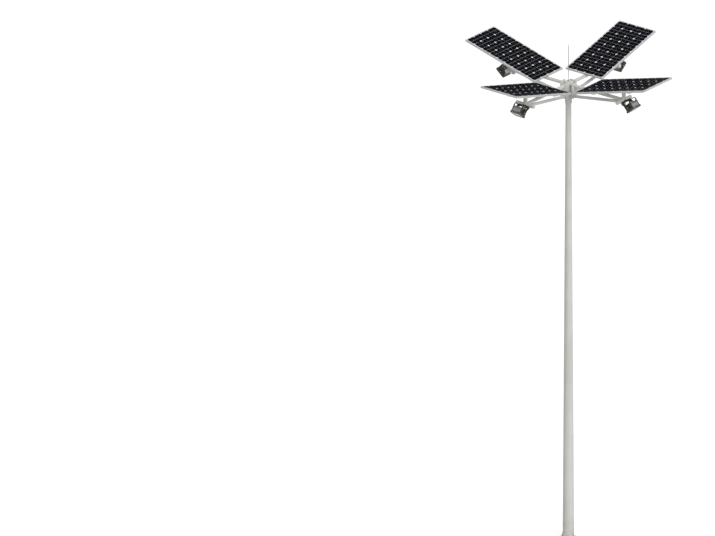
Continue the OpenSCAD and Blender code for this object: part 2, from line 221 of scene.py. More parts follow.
# %% [markdown]
# ## A skin over rings
# Most hardware is a closed outline repeated at several heights: a plate, a bolt, a lens, a knob.
# `skin` joins such rings with quads. It closes the two ends with a polygon each, or joins them to
# each other, which gives a frame with a hole.

# %% A skin over rings
def skin(rings, closed=False):
    """Quads between neighbouring rings, an array of rings x corners x 3. Each ring closes on
    itself. The first and last get a polygon each, or are joined if the surface is closed."""
    rings = np.asarray(rings, float)
    index = np.arange(rings.shape[0] * rings.shape[1]).reshape(rings.shape[:2])
    a, b = (index, np.roll(index, -1, 0)) if closed else (index[:-1], index[1:])
    quads = np.stack([a, np.roll(a, -1, 1), np.roll(b, -1, 1), b], -1).reshape(-1, 4)
    return Shape(rings, [quads] if closed else [quads, index[:1, ::-1], index[-1:]]).outward()


cube = skin([[(0, 0, z), (1, 0, z), (1, 1, z), (0, 1, z)] for z in (0, 1)])
print("a test box has", len(cube.points), "points and", sum(map(len, cube.faces)), "faces")

# %% [markdown]
# ## Outlines and plates
# Cast, sawn and pressed parts never have perfectly sharp edges, and it is the narrow bevel along
# an edge that catches the light. So every plate here is four rings: the outline, and the same
# outline drawn in by the bevel at both faces. An outline is an array of corners; `rounded` puts
# an arc on each of them, and `grown` moves all edges out or in by the same distance.

# %% Outlines and plates
def rectangle(half_x, half_y, x=0.0, y=0.0):
    """The four corners of a rectangle about a middle, counter-clockwise."""
    return np.array([(-1, -1), (1, -1), (1, 1), (-1, 1)]) * (half_x, half_y) + (x, y)


def rounded(corners, radius, steps=5):
    """Corners made round. An arc's centre lies on the corner's bisector, radius / sin(half the
    angle) in; the arc touches the two edges radius / tan(half the angle) along."""
    p = np.asarray(corners, float)
    r = np.broadcast_to(radius, len(p)).astype(float)[:, None]
    before, after = unit(np.roll(p, 1, 0) - p), unit(np.roll(p, -1, 0) - p)
    half = np.arccos(np.sum(before * after, 1, keepdims=True)) / 2
    centre = p + unit(before + after) * r / np.sin(half)
    start, stop = p + before * r / np.tan(half) - centre, p + after * r / np.tan(half) - centre
    way_round = np.sign(start[:, :1] * stop[:, 1:] - start[:, 1:] * stop[:, :1])
    t = way_round * (math.pi - 2 * half) * np.linspace(0, 1, steps + 1)
    arc = np.stack([start[:, :1] * np.cos(t) - start[:, 1:] * np.sin(t),
                    start[:, :1] * np.sin(t) + start[:, 1:] * np.cos(t)], -1)
    return (centre[:, None] + arc).reshape(-1, 2)


def grown(outline, distance):
    """An outline moved outwards: each corner goes along the sum of its two edges' normals, over
    one plus their dot product, which keeps the edges parallel."""
    edge = unit(np.roll(outline, -1, 0) - outline)
    normal = np.column_stack([edge[:, 1], -edge[:, 0]])
    last = np.roll(normal, 1, 0)
    return outline + distance * (normal + last) / (1 + np.sum(normal * last, 1, keepdims=True))


def lifted(outline, height):
    """A flat outline as points in space, all at one height."""
    return np.column_stack([outline, np.full(len(outline), float(height))])


def plate(outline, low, high, bevel=1.0):
    """An outline between two heights, drawn in by the bevel at both faces."""
    small = grown(outline, -bevel)
    return skin([lifted(small, low), lifted(outline, low + bevel), lifted(outline, high - bevel),
                 lifted(small, high)])


print("a rounded plate has", len(plate(rounded(rectangle(50, 30), 8), 0, 5).points), "points")

# %% [markdown]
# ## From arrays to pieces
# A mesh object is filled in one go with `foreach_set`: point places, the corners of every face,
# and where each face starts. The pattern places become a UV map, which a finish can read when its
# pattern has to follow the part. Smooth shading with sharp edges past an angle keeps round parts
# round and plates crisp. Each piece rides on a body of the model and takes the place of the plain
# solid it refines, if any.

# %% From arrays to pieces
SHARP_EDGE = math.radians(32)
made = {}


def piece(name, shape, body, material, replaces=()):
    """One object from a Shape in metres: mesh, pattern map, shading, material, body, slot."""
    corners = np.concatenate([faces.ravel() for faces in shape.faces]).astype(np.int32)
    counts = np.concatenate([np.full(len(faces), faces.shape[1]) for faces in shape.faces])
    mesh = bpy.data.meshes.new(name)
    mesh.vertices.add(len(shape.points))
    mesh.vertices.foreach_set("co", shape.points.astype(np.float32).ravel())
    mesh.loops.add(len(corners))
    mesh.loops.foreach_set("vertex_index", corners)
    mesh.polygons.add(len(counts))
    mesh.polygons.foreach_set("loop_start", (np.cumsum(counts) - counts).astype(np.int32))
    mesh.polygons.foreach_set("use_smooth", np.ones(len(counts), bool))
    mesh.update(calc_edges=True)
    mesh.uv_layers.new(name="pattern").uv.foreach_set("vector", shape.pattern[corners].ravel())
    mesh.set_sharp_from_angle(angle=SHARP_EDGE)
    mesh.materials.append(material)
    thing = bpy.data.objects.new(name, mesh)
    bpy.context.scene.collection.objects.link(thing)
    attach(thing, body)
    if replaces:
        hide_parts(*replaces)
    made[name] = int(np.sum(counts - 2))


def on_brackets(name, shape, body, material, replaces=()):
    """The same piece on all four brackets. {} in a name stands for the bracket's number."""
    for i in BRACKETS:
        piece(f"{name}_{i}", shape.placed(bracket(i)), body.format(i), material,
              [node.format(i) for node in replaces])
    print(f"{name}: 4 x {made[name + '_1']} triangles")


# %% [markdown]
# ## Sums in a material
# A finish is arithmetic on places: stretch a noise here, mask it there, add a third of it to a
# colour. Drawn as nodes that is a wall of Math boxes, so a small class stands for a socket, and
# + - * and < on it add the boxes. Colours and directions go through their own kinds of node,
# because a Math node would turn a colour grey. What is the same all over goes straight on the
# shader's sockets.

# %% Sums in a material
class Wire:
    """One output socket of a material's nodes, with operators that add Math nodes."""

    def __init__(self, tree, socket=None):
        self.tree, self.socket = tree, socket

    def node(self, kind, settings=None, inputs=None, output=0):
        """Any other node: its settings first, then a value or a Wire for each socket."""
        box = self.tree.nodes.new(kind)
        for key, value in (settings or {}).items():
            setattr(box, key, value)
        for key, value in (inputs or {}).items():
            if isinstance(value, Wire):
                self.tree.links.new(value.socket, box.inputs[key])
            else:
                box.inputs[key].default_value = value
        return Wire(self.tree, box.outputs[output])

    def math(self, operation, *values):
        """A Math node on values and Wires, in the order of its sockets."""
        return self.node("ShaderNodeMath", {"operation": operation}, dict(enumerate(values)))

    def __add__(self, other): return self.math("ADD", self, other)
    def __radd__(self, other): return self.math("ADD", other, self)
    def __sub__(self, other): return self.math("SUBTRACT", self, other)
    def __rsub__(self, other): return self.math("SUBTRACT", other, self)
    def __mul__(self, other): return self.math("MULTIPLY", self, other)
    def __rmul__(self, other): return self.math("MULTIPLY", other, self)
    def __lt__(self, other): return self.math("LESS_THAN", self, other)

    def step(self, low, high):
        """0 below low and 1 above high, with a smooth rise between."""
        return self.node("ShaderNodeMapRange", {"interpolation_type": "SMOOTHSTEP"},
                         {0: self, 1: low, 2: high})

    def mix(self, low, high):
        """Colour low where this value is 0, colour high where it is 1."""
        low, high = (c if isinstance(c, Wire) else (*c, 1.0) for c in (low, high))
        return self.node("ShaderNodeMix", {"data_type": "RGBA"}, {0: self, 6: low, 7: high}, 2)

    def part(self, number):
        """The X, Y or Z part of a direction or place."""
        return self.node("ShaderNodeSeparateXYZ", None, {0: self}, number)

    def stretched(self, x, y, z):
        """A place with each part times a factor: a small factor draws a pattern out that way."""
        return self.node("ShaderNodeVectorMath", {"operation": "MULTIPLY"},
                         {0: self, 1: (x, y, z)})

    def noise(self, scale, detail=2.0, roughness=0.5):
        """Clouds from 0 to 1 at this place, with about scale of them to the metre."""
        return self.node("ShaderNodeTexNoise", None, {"Vector": self, "Scale": scale,
                                                      "Detail": detail, "Roughness": roughness})

    def bump(self, distance, strength):
        """This value as a height, in metres once it is times the distance."""
        return self.node("ShaderNodeBump", None,
                         {"Strength": strength, "Distance": distance, "Height": self}, "Normal")


print("a Wire has the methods", [name for name in vars(Wire) if not name.startswith("_")])

# %% [markdown]
# ## A finish
# A finish is a material in two halves. The values that are the same all over the piece go on the
# shader's own sockets. The rest comes from a function, which gets the place on the object as a
# Wire and gives back one Wire for each socket that changes over the piece.

# %% A finish
def finish(name, fixed, varying):
    """A material. fixed: values for the shader's own sockets. varying: a function from the place
    on the object to the sockets that change over it."""
    material = bpy.data.materials.new(name)
    material.use_nodes = True
    tree = material.node_tree
    shader = tree.nodes["Principled BSDF"]
    for key, value in fixed.items():
        shader.inputs[key].default_value = value
    place = Wire(tree).node("ShaderNodeTexCoord", output="Object")
    for key, value in varying(place).items():
        tree.links.new(value.socket, shader.inputs[key])
    return material


print("a finish starts from the object's own coordinates; materials so far:",
      len(bpy.data.materials))

# %% [markdown]
# ## Paint, zinc and steel
# The mast is steel with a pale grey coat. From a few metres it isn't one grey: rain leaves faint
# upright streaks, the coat is a little cloudy, and dirt splashes up from the ground. Close by it
# has the fine orange peel of powder coat. Galvanised parts show spangle, flat crystals of zinc
# that each catch the light their own way, which cells of a Voronoi pattern imitate. The frames
# are anodised aluminium, which is smooth, silvery and nearly even.

# %% Paint, zinc and steel
SPLASH_HEIGHT = 0.8  # metres above the ground


def pale_coat(place):
    """Clouds and upright streaks between two greys, with dirt that fades out upwards."""
    streaks = place.stretched(9, 9, 0.35).noise(1.0, 4, 0.6)
    clouds = place.noise(1.7, 3)
    grey = (0.55 * streaks + 0.45 * clouds).step(0.38, 0.62)
    near_ground = 1 - place.part(2).step(0.0, SPLASH_HEIGHT)
    dirt = near_ground * place.noise(5, 4).step(0.3, 0.75) * 0.55
    clean = grey.mix((0.600, 0.610, 0.570), (0.680, 0.688, 0.650))
    return {"Base Color": dirt.mix(clean, (0.33, 0.31, 0.27)),
            "Roughness": 0.4 + 0.14 * streaks + 0.2 * dirt,
            "Normal": place.noise(450, 2).bump(0.0003, 0.5)}


def spangle(place):
    """Zinc crystals 15 mm across, each with its own grey and gloss, under a dull cloud."""
    crystal = place.node("ShaderNodeTexVoronoi", None, {"Vector": place, "Scale": 65.0},
                         "Color").part(0)
    dull = place.noise(6, 3).step(0.35, 0.7)
    tone = 0.5 * crystal + 0.5 * dull
    return {"Base Color": tone.mix((0.50, 0.51, 0.52), (0.68, 0.69, 0.69)),
            "Roughness": 0.3 + 0.22 * crystal + 0.1 * dull,
            "Normal": crystal.bump(0.0002, 0.4)}


def drawn_metal(light, dark):
    """Fine lines left by a die or a brush, and a faint haze."""
    def varying(place):
        lines = place.stretched(300, 300, 12).noise(1.0, 3)
        haze = place.noise(4, 3).step(0.3, 0.7)
        return {"Base Color": (0.6 * lines + 0.4 * haze).mix(dark, light),
                "Roughness": 0.3 + 0.16 * lines + 0.06 * haze,
                "Normal": lines.bump(0.0001, 0.3)}
    return varying


paint = finish("mast_paint", {"Specular IOR Level": 0.35}, pale_coat)
zinc = finish("rack_zinc", {"Metallic": 0.85}, spangle)
rod_metal = finish("rod_steel", {"Metallic": 0.9},
                   drawn_metal((0.56, 0.57, 0.57), (0.42, 0.43, 0.43)))
aluminium = finish("frame_aluminium", {"Metallic": 0.3},
                   drawn_metal((0.54, 0.545, 0.54), (0.45, 0.455, 0.45)))
stainless = finish("stainless", {"Metallic": 1.0},
                   drawn_metal((0.72, 0.71, 0.69), (0.55, 0.54, 0.52)))
brass = finish("brass", {"Metallic": 1.0},
               drawn_metal((0.86, 0.68, 0.38), (0.70, 0.52, 0.26)))
print("paint, zinc, steel, aluminium, brass")

# %% [markdown]
# ## Lamp finishes
# The floodlight's castings are dark brown and charcoal, with a fine sandy texture that keeps
# highlights soft and wide. Its cooling body is a lighter grey. The boards behind the lenses are
# painted off-white. One recipe with three colours covers them all: a grain for the bump, a slow
# cloud for the tone, and a paler colour on faces turned up, which the surface normal's Z shows.
# On most finishes that is a little dust; on the cooling body and the charcoal it is mostly
# painted top light, tops made lighter where light from above falls.

# %% Lamp finishes
def sandy_coat(base, dust_and_top_light, dust_and_top_light_colour=(0.24, 0.24, 0.225), grain=0.00025):
    """A fine grain 1.5 mm across, a slow change of tone, and dust with painted top light on faces that look up."""
    def varying(place):
        tone = place.noise(9, 3)
        upward = place.node("ShaderNodeNewGeometry", output="Normal").part(2).step(0.1, 0.95)
        dust_and_top_light_mask = upward * place.noise(14, 4).step(0.25, 0.8) * dust_and_top_light
        plain = tone.mix([0.86 * c for c in base], [1.12 * c for c in base])
        return {"Base Color": dust_and_top_light_mask.mix(plain, dust_and_top_light_colour),
                "Roughness": 0.46 + 0.12 * tone + 0.25 * dust_and_top_light_mask,
                "Normal": place.noise(650, 2, 0.6).bump(grain, 0.7)}
    return varying


brown = finish("lamp_brown", {"Specular IOR Level": 0.25},
               sandy_coat((0.030, 0.0215, 0.0155), 0.15))
# A strong, pale top colour on the cooling body is painted top light: tops lighter where light from above falls.
cooling_grey = finish("heat_sink_grey", {"Metallic": 0.6},
                      sandy_coat((0.31, 0.315, 0.325), 0.4, (0.50, 0.505, 0.51)))
# The bezel's full-strength pale top colour is painted top light as well, with some dust.
charcoal = finish("bezel_charcoal", {"Specular IOR Level": 0.4},
                  sandy_coat((0.052, 0.051, 0.048), 1.0, (0.36, 0.365, 0.365)))
# Black for the joint box and the vent plugs, and for painted shade in the slots and countersinks.
black = finish("black_rubber_and_painted_shade", {"Specular IOR Level": 0.3},
               sandy_coat((0.012, 0.012, 0.012), 0.1))
board_white = finish("module_white", {"Coat Weight": 0.35, "Coat Roughness": 0.12},
                     sandy_coat((0.66, 0.67, 0.61), 0.05, grain=0.00005))
print("brown, grey, charcoal, black, white")

# %% [markdown]
# ## Solar cells
# A panel is a sandwich: glass, dark silicon cells, thin silver ribbons that join them, and a
# white backsheet. What shows are the cells with the white sheet between them. The cells' corners
# are cut off, so where four meet a white diamond shines through. One picture texture would be
# flat and would blur; here the cells are 36 thin eight-cornered plates, laid out by `copies`,
# which also gives each cell its own number in the pattern map. The finish reads that number, so
# that no two cells are quite the same blue-black. The glass has an anti-glare coat, so the shine
# is kept very weak.

# %% Finishes under the glass
def cell_black(place):
    """Near black or navy by cell number and by a slow cloud, with hair-fine silver fingers."""
    pattern = place.node("ShaderNodeUVMap", {"uv_map": "pattern"})
    number = pattern.node("ShaderNodeVectorMath", {"operation": "FLOOR"}, {0: pattern})
    lot = number.node("ShaderNodeTexWhiteNoise", None, {"Vector": number})
    blue = (0.2 * lot + 0.8 * place.noise(0.8, 2)).step(0.3, 0.75)
    fingers = place.math("FRACT", pattern.part(1) * 110.0) < 0.09
    colour = blue.mix((0.0030, 0.0030, 0.0034), (0.0036, 0.0042, 0.0120))
    return {"Base Color": (0.08 * fingers).mix(colour, (0.20, 0.21, 0.24)),
            "Roughness": 0.34 + 0.1 * lot}


def under_glass(light, dark):
    """A pale layer under the glass, with a slow change of tone."""
    return lambda place: {"Base Color": place.noise(3, 3).mix(dark, light),
                          "Roughness": 0.3 + 0.15 * place.noise(20)}


glass = {"Specular IOR Level": 0.0, "Coat Weight": 0.02, "Coat Roughness": 0.08}
cell_finish = finish("solar_cells", glass, cell_black)
sheet_finish = finish("backsheet", glass, under_glass((0.94, 0.945, 0.955), (0.88, 0.89, 0.90)))
ribbon_finish = finish("ribbon", glass, under_glass((0.32, 0.325, 0.34), (0.25, 0.255, 0.27)))
print("cells, backsheet, ribbons")

# %% [markdown]
# ## Sheet, cells and ribbons
# Each layer is a thin plate a little into the one below, so that no two faces lie in one plane,
# where they would flicker. Nine wide ribbons cross the panel, one through the middle of each
# column of cells, and four thin ones run its whole length.

# %% Sheet, cells and ribbons
PANEL_L, PANEL_W, SHEET_MARGIN = 1956.0, 992.0, 5.0
CELL_PITCH, CELLS = np.array([212.9, 236.7]), np.array([9, 4])
CELL_GAP, CELL_CUT, CELL_T = np.array([2.6, 1.9]), 25.5, 0.7
GLASS_TOP, GLASS_T, SUNK = -2.0, 6.0, 0.1
RIBBON_HALF, RIBBON_H, THREAD_HALF, THREAD_H, RIBBON_MARGIN = 2.8, 0.4, 1.1, 0.2, 6.0


def clipped(x, y, cut):
    """A rectangle of half sizes x and y with its corners cut off at 45 degrees."""
    return np.array([(x, cut - y), (x, y - cut), (x - cut, y), (cut - x, y),
                     (-x, y - cut), (-x, cut - y), (cut - x, -y), (x - cut, -y)])


sheet = plate(rectangle(PANEL_L / 2 - SHEET_MARGIN, PANEL_W / 2 - SHEET_MARGIN),
              GLASS_TOP - GLASS_T, GLASS_TOP - CELL_T + SUNK, 0.5)
cell = plate(clipped(*(CELL_PITCH - CELL_GAP) / 2, CELL_CUT), GLASS_TOP - CELL_T, GLASS_TOP, 0.1)
cell.pattern = cell.points[:, :2] / CELL_PITCH
numbers = np.stack(np.meshgrid(*map(np.arange, CELLS), indexing="ij"), -1).reshape(-1, 2) + 0.5
middles = (numbers - CELLS / 2) * CELL_PITCH
cells = cell.copies(np.column_stack([middles, np.zeros(len(middles))]), numbers)

reach_l, reach_w = CELL_PITCH * CELLS / 2 - RIBBON_MARGIN
column, row = ((np.arange(n) + 0.5 - n / 2) * pitch for n, pitch in zip(CELLS, CELL_PITCH))
wide = plate(rectangle(RIBBON_HALF, reach_w), GLASS_TOP - SUNK, GLASS_TOP + RIBBON_H, 0.1)
thin = plate(rectangle(reach_l, THREAD_HALF), GLASS_TOP - SUNK, GLASS_TOP + THREAD_H, 0.1)
ribbons = wide.copies(np.outer(column, X)) + thin.copies(np.outer(row, Y))

on_brackets("panel_sheet", sheet.placed(PANEL), "mast", sheet_finish,
            ["panel_laminate_{}"])
on_brackets("panel_cells", cells.placed(PANEL), "mast", cell_finish)
on_brackets("panel_ribbons", ribbons.placed(PANEL), "mast", ribbon_finish)

# %% [markdown]
# ## Turned parts, bars and bolts
# Round hardware is rings again. A profile of radii and heights turned about an axis gives a
# washer, a screw head or a knob: that is what a lathe does. A circle carried along a path gives a
# bent rod, and later a weld bead; at each point it has to stand square to the path, or the rod
# would grow thin in its bends. A bolt's head is a six-sided plate on a turned washer.

# %% Turned parts, bars and bolts
def circle(radius, sides=32, first=0.0, last=2 * math.pi, x=0.0, y=0.0):
    """A circle or an arc: radius times the cosine and the sine of evenly spaced angles."""
    whole = last - first > 2 * math.pi - 1e-6
    angle = np.linspace(first, last, sides, endpoint=not whole)
    return np.column_stack([x + radius * np.cos(angle), y + radius * np.sin(angle)])


def lathe(profile, sides=32):
    """(radius, height) pairs turned about Z: x = radius cos(angle), y = radius sin(angle)."""
    return skin([lifted(circle(radius, sides), height) for radius, height in profile])


def bar(path, radius, reference, closed=False, sides=8):
    """A round bar along a path. One axis of the circle at each point is the path's direction
    crossed with a reference direction, and the other is square to both."""
    path = np.asarray(path, float)
    along = np.roll(path, -1, 0) - np.roll(path, 1, 0) if closed else np.gradient(path, axis=0)
    side = unit(np.cross(along, reference))[:, None]
    top = unit(np.cross(side[:, 0], along))[:, None]
    angle = np.linspace(0, 2 * math.pi, sides, endpoint=False)[:, None]
    radius = np.broadcast_to(radius, len(path))[:, None, None]
    return skin(path[:, None] + radius * (np.cos(angle) * side + np.sin(angle) * top), closed)


def hex_bolt(size):
    """A hexagon head on a bevelled washer, standing on z = 0. size is the thread's diameter."""
    head = plate(circle(size, 6), 0.12 * size, 0.8 * size, 0.1 * size)
    return head + lathe([(1.1 * size, 0), (1.25 * size, 0.02 * size), (1.25 * size, 0.14 * size),
                         (1.2 * size, 0.16 * size)], 20)


print("a bolt has", len(hex_bolt(16).points), "points")

# %% [markdown]
# ## Under the panels
# Few people see a panel from below, but a maker does. The beam sits on the post's head plate
# under two U-bolts, and hangs from the two rails in two more. A U-bolt is a round bar along a
# path: up, round a bend, across, round a bend, and down.

# %% U-bolts
BEAM_TOP, BEAM_H, BEAM_W = -85.0, 50.0, 70.0
HEAD_T, RAIL_SPACING, INSET, BOLT_SPACING = 10.0, 1000.0, 25.0, 160.0
ROD_R, BEND_R, ROD_CLEAR, ROD_END, ROD_STUB = 5.0, 14.0, 0.5, 18.0, 3.0


def u_bolt(half, low, high):
    """A bar in the Y-Z plane: straight legs at -half and +half, and two quarter circles on top."""
    first_bend = circle(BEND_R, 7, math.pi, math.pi / 2, BEND_R - half, high - BEND_R)
    second_bend = circle(BEND_R, 7, math.pi / 2, 0, half - BEND_R, high - BEND_R)
    path = np.vstack([[(-half, low)], first_bend, second_bend, [(half, low)]])
    return bar(np.column_stack([np.zeros(len(path)), path]), ROD_R, X)


leg_y = BEAM_W / 2 + ROD_R + 1
turned_over = axes(X, -Y, -Z)
nuts = hex_bolt(10).placed(turned_over).copies([(0, -leg_y, 0), (0, leg_y, 0)])
over_beam = u_bolt(leg_y, -ROD_END - BEAM_H - HEAD_T, ROD_R + ROD_CLEAR)
over_beam += nuts.copies([(0, 0, -BEAM_H - HEAD_T)])
under_beam = u_bolt(leg_y, -ROD_STUB, BEAM_H + ROD_R + ROD_CLEAR).placed(turned_over) + nuts

head_x = (BEAM_TOP - BEAM_H) * math.tan(math.radians(PANEL_SLOPE)) + INSET
rack_bolts = over_beam.copies([(head_x + BOLT_SPACING * k, 0, BEAM_TOP) for k in (-0.5, 0.5)])
rack_bolts += under_beam.copies([(RAIL_SPACING * k, 0, BEAM_TOP) for k in (-0.5, 0.5)])
on_brackets("rack_bolts", rack_bolts.placed(PANEL), "mast", zinc)

# %% [markdown]
# ## The joint box
# A flat box near the panel's upper end covers the joint of the ribbons. It has a lid with four
# screws, and two cable glands that look down the slope, so that rain runs off them.

# %% The joint box
BOX_HALF, BOX_DEEP, LID_HALF, BOX_FROM_END = (65, 50), 24, (58, 43), 220

box = plate(rounded(rectangle(*BOX_HALF), 8), -BOX_DEEP, 0, 2.5)
lid = plate(rounded(rectangle(*LID_HALF), 5), -BOX_DEEP - 3, 1 - BOX_DEEP, 1.2)
lid_screw = lathe([(4, -4.2), (4.5, -3.4), (4.5, -2)], 10)
lid_screws = lid_screw.copies([(x, y, -BOX_DEEP) for x in (-50, 50) for y in (-35, 35)])
gland = lathe([(9, 62), (9, 70), (7, 72), (7, 78), (5, 80)], 16).placed(axes(Y, -Z, -X))
glands = gland.copies([(0, -25, -13), (0, 25, -13)])
joint_box = (box + lid + lid_screws + glands).copies(
    [(PANEL_L / 2 - BOX_FROM_END, 0, GLASS_TOP - GLASS_T)])
on_brackets("panel_joint_box", joint_box.placed(PANEL), "mast", black)

# %% [markdown]
# ## The floodlight's cooling body
# Behind the lamp's front stands a stack of thin plates across its width: cooling fins. The plain
# solid for them is one block. Here seven rounded plates stand on a smaller core, so that the gaps
# are real and catch shade, and a smooth housing runs on from the last fin to the bezel. `loft`
# makes the housing and its neck from a list of rounded rectangles. A cover with six screws closes
# the back.

# %% The cooling body
FIN_PITCH, FIN_T, FINS, FIN_HALF = 6.2, 3.4, 7, (100.5, 104)
CORE_HALF, NECK_HALF, NECK_END = (92, 90), 109, 68.5
COVER_HALF, COVER_T = (68, 58), 3.5
BODY_BACK, HOUSING_BACK, BEZEL_BACK = -81.0, -36.5, 40.0


def loft(sections):
    """Rounded rectangles one after another: place, half width, half height and radius of each."""
    return skin([lifted(rounded(rectangle(w, h), r), at) for at, w, h, r in sections])


first_fin = BODY_BACK + 1.5
fin = plate(rounded(rectangle(*FIN_HALF), 5), first_fin, first_fin + FIN_T, 0.7)
fins = fin.placed(ALONG_X).copies([(FIN_PITCH * k, 0, 0) for k in range(FINS)])
core = plate(rounded(rectangle(*CORE_HALF), 4), BODY_BACK, HOUSING_BACK + 2, 1.0)
housing = loft([(HOUSING_BACK, 99, 102, 4), (HOUSING_BACK + 1.2, 100.5, 103.6, 5),
                (BEZEL_BACK - 6, 101, 104, 5), (BEZEL_BACK + 1, 101, 104, 5)])
neck = loft([(at, NECK_HALF, NECK_HALF, 3) for at in (BEZEL_BACK, NECK_END)])
cover = plate(rounded(rectangle(*COVER_HALF), 12), 0, COVER_T, 1.2)
cable_gland = lathe([(13, 3), (13, 7), (11.5, 8.5), (7, 8.5), (6.5, 7.5)], 24)
cover += cable_gland.copies([(0, 28, 0)])
cooling = fins + (core + housing + neck).placed(ALONG_X)
cooling += cover.placed(ALONG_BACK).copies([(BODY_BACK, 0, 0)])
on_brackets("lamp_fins", cooling.placed(LAMP), "lamp_{}", cooling_grey,
            ["lamp_body_{}"])

# %% [markdown]
# ## Plates with a hole
# A plate with a hole needs as many points on the hole as on the rim. Rays from the hole's middle
# give them: both outlines are cut by the same rays. The eight rings that follow go over the rim,
# across one face, through the hole and back across the other face, and close on themselves.

# %% Plates with a hole
def crossings(outline, centre, angles):
    """Where rays from the centre leave an outline: radius = cross(a, b - a) / cross(ray, b - a),
    with a and b the ends of the edge that each ray crosses."""
    def cross(u, v):
        """The flat cross product, row by row: u_x v_y - u_y v_x."""
        return u[:, 0] * v[:, 1] - u[:, 1] * v[:, 0]
    a = outline - centre
    a = a[np.argsort(np.arctan2(a[:, 1], a[:, 0]))]
    k = np.searchsorted(np.arctan2(a[:, 1], a[:, 0]), angles, side="right") - 1
    a, b = a[k], np.roll(a, -1, 0)[k]
    ray = np.column_stack([np.cos(angles), np.sin(angles)])
    return centre + ray * (cross(a, b - a) / cross(ray, b - a))[:, None]


def pierced(outline, hole, centre, low, high, bevel=1.0):
    """A bevelled plate with a bevelled hole. The rays go to every corner of both outlines."""
    centre = np.array(centre, float)
    angles = np.concatenate([np.arctan2(*(o - centre).T[::-1]) for o in (outline, hole)])
    angles = np.unique(np.round(angles, 4))
    rim, eye = crossings(outline, centre, angles), crossings(hole, centre, angles)
    rim_in, eye_out = grown(rim, -bevel), grown(eye, bevel)
    loops = [(rim_in, low), (rim, low + bevel), (rim, high - bevel), (rim_in, high),
             (eye_out, high), (eye, high - bevel), (eye, low + bevel), (eye_out, low)]
    return skin([lifted(loop, height) for loop, height in loops], closed=True)


test_ring = pierced(circle(20), circle(10), (0, 0), 0, 5)
print("a pierced disc has", len(test_ring.points), "points")

# %% [markdown]
# ## The side castings
# Two flat castings carry the whole floodlight: each has a hand-sized slot whose outer edge is the
# grip, and a round boss for the hinge. The casting is one pierced plate, with a wide bevel,
# because a cast edge is soft. Ridges on the inside of the grip stop a gloved hand from slipping;
# they are one saw-tooth outline.

# %% The side castings
SIDE_Y, SIDE_T, HANDLE_GAP_X, HANDLE_GAP_Z = 124.0, 22.0, (-146.0, -85.0), 86.0
RIM = [(40, -105), (40, 105), (-81, 106), (-158, 98), (-158, -98), (-81, -106)]
RIM_RADII = [2, 2, 28, 40, 40, 28]
RIM_BEVEL, SLOT_CORNER_R, ARC_STEPS = 2.2, 22, 8
RIDGES, RIDGE_PITCH, RIDGE_H, RIDGE_GAP = 10, 11.0, 1.8, 1.5

inner_y = SIDE_Y - SIDE_T
slot_x, slot_half = sum(HANDLE_GAP_X) / 2, (HANDLE_GAP_X[1] - HANDLE_GAP_X[0]) / 2
hand_slot = rounded(rectangle(slot_half, HANDLE_GAP_Z, slot_x), SLOT_CORNER_R, ARC_STEPS)
rim = rounded(RIM, RIM_RADII, ARC_STEPS)
casting = pierced(rim, hand_slot, (slot_x, 0), inner_y, SIDE_Y, RIM_BEVEL)

ridge_z = RIDGE_PITCH * (np.arange(RIDGES) - RIDGES / 2)
teeth = np.column_stack([np.tile([0.2, RIDGE_H], RIDGES),
                         (ridge_z[:, None] + [0, RIDGE_PITCH - RIDGE_GAP]).ravel()])
saw = np.vstack([teeth, [(-2, ridge_z[-1] + RIDGE_PITCH), (-2, ridge_z[0])]])
saw += (HANDLE_GAP_X[0], 0)
ridges = skin([lifted(saw, inner_y + 2), lifted(saw, SIDE_Y - 2)])
print("slot", 2 * slot_half, "x", 2 * HANDLE_GAP_Z, "mm, with", RIDGES, "ridges")

# %% [markdown]
# ## The hinge
# Boss and bolt are one lathe profile and the knob is another. The scale of ticks on the knob,
# from which a fitter reads the lamp's aim, is one small bar turned to every mark by `spun`.
# `both_sides` mirrors what is drawn on the left, and the mirrored faces point outwards again,
# because `placed` checks the volume's sign.

# %% The hinge
LEG_Y, BOSS_R, PIN_R = 136.0, 34.0, 8.0
KNOB_Y, KNOB_TOP, KNOB_R = 150.3, 158.3, 29.0
TICK_EVERY, TICK_REACH = 6, 60  # degrees
MIRROR = axes(X, -Y, Z)


def both_sides(shape):
    """A shape and its mirror image across the middle plane Y = 0."""
    return shape + shape.placed(MIRROR)


def spun(shape, angles):
    """One copy per angle about Z: x cos(angle) - y sin(angle), x sin(angle) + y cos(angle)."""
    c, s, o = np.cos(angles), np.sin(angles), np.zeros(len(angles))
    turns = np.stack([[c, -s, o], [s, c, o], [o, o, o + 1]]).transpose(2, 0, 1)
    copies = shape.copies(np.zeros((len(angles), 3)))
    copies.points = np.einsum("kij,nj->kni", turns, shape.points).reshape(-1, 3)
    return copies


boss = lathe([(BOSS_R, SIDE_Y - 1), (BOSS_R, LEG_Y - 2), (BOSS_R - 1.5, LEG_Y - 0.3),
              (PIN_R, LEG_Y - 0.3), (PIN_R, KNOB_Y + 1)], 48)
knob = lathe([(KNOB_R - 2, KNOB_Y), (KNOB_R, KNOB_Y + 1), (KNOB_R, KNOB_TOP - 2),
              (KNOB_R - 1.5, KNOB_TOP - 0.5), (KNOB_R - 3, KNOB_TOP), (9.5, KNOB_TOP),
              (8.5, KNOB_TOP - 1.5)], 64)
tick = plate(rectangle(2.6, 0.55, 24.5), KNOB_TOP - 1, KNOB_TOP + 0.4, 0.15)
marks = np.arange(-TICK_REACH, TICK_REACH + 1, TICK_EVERY)
ticks = spun(tick, np.radians(marks + 90))
side = (casting + ridges + boss + knob + ticks).placed(ALONG_Y)
on_brackets("lamp_casting", both_sides(side).placed(LAMP), "lamp_{}", brown,
            ["lamp_sides_{}"])

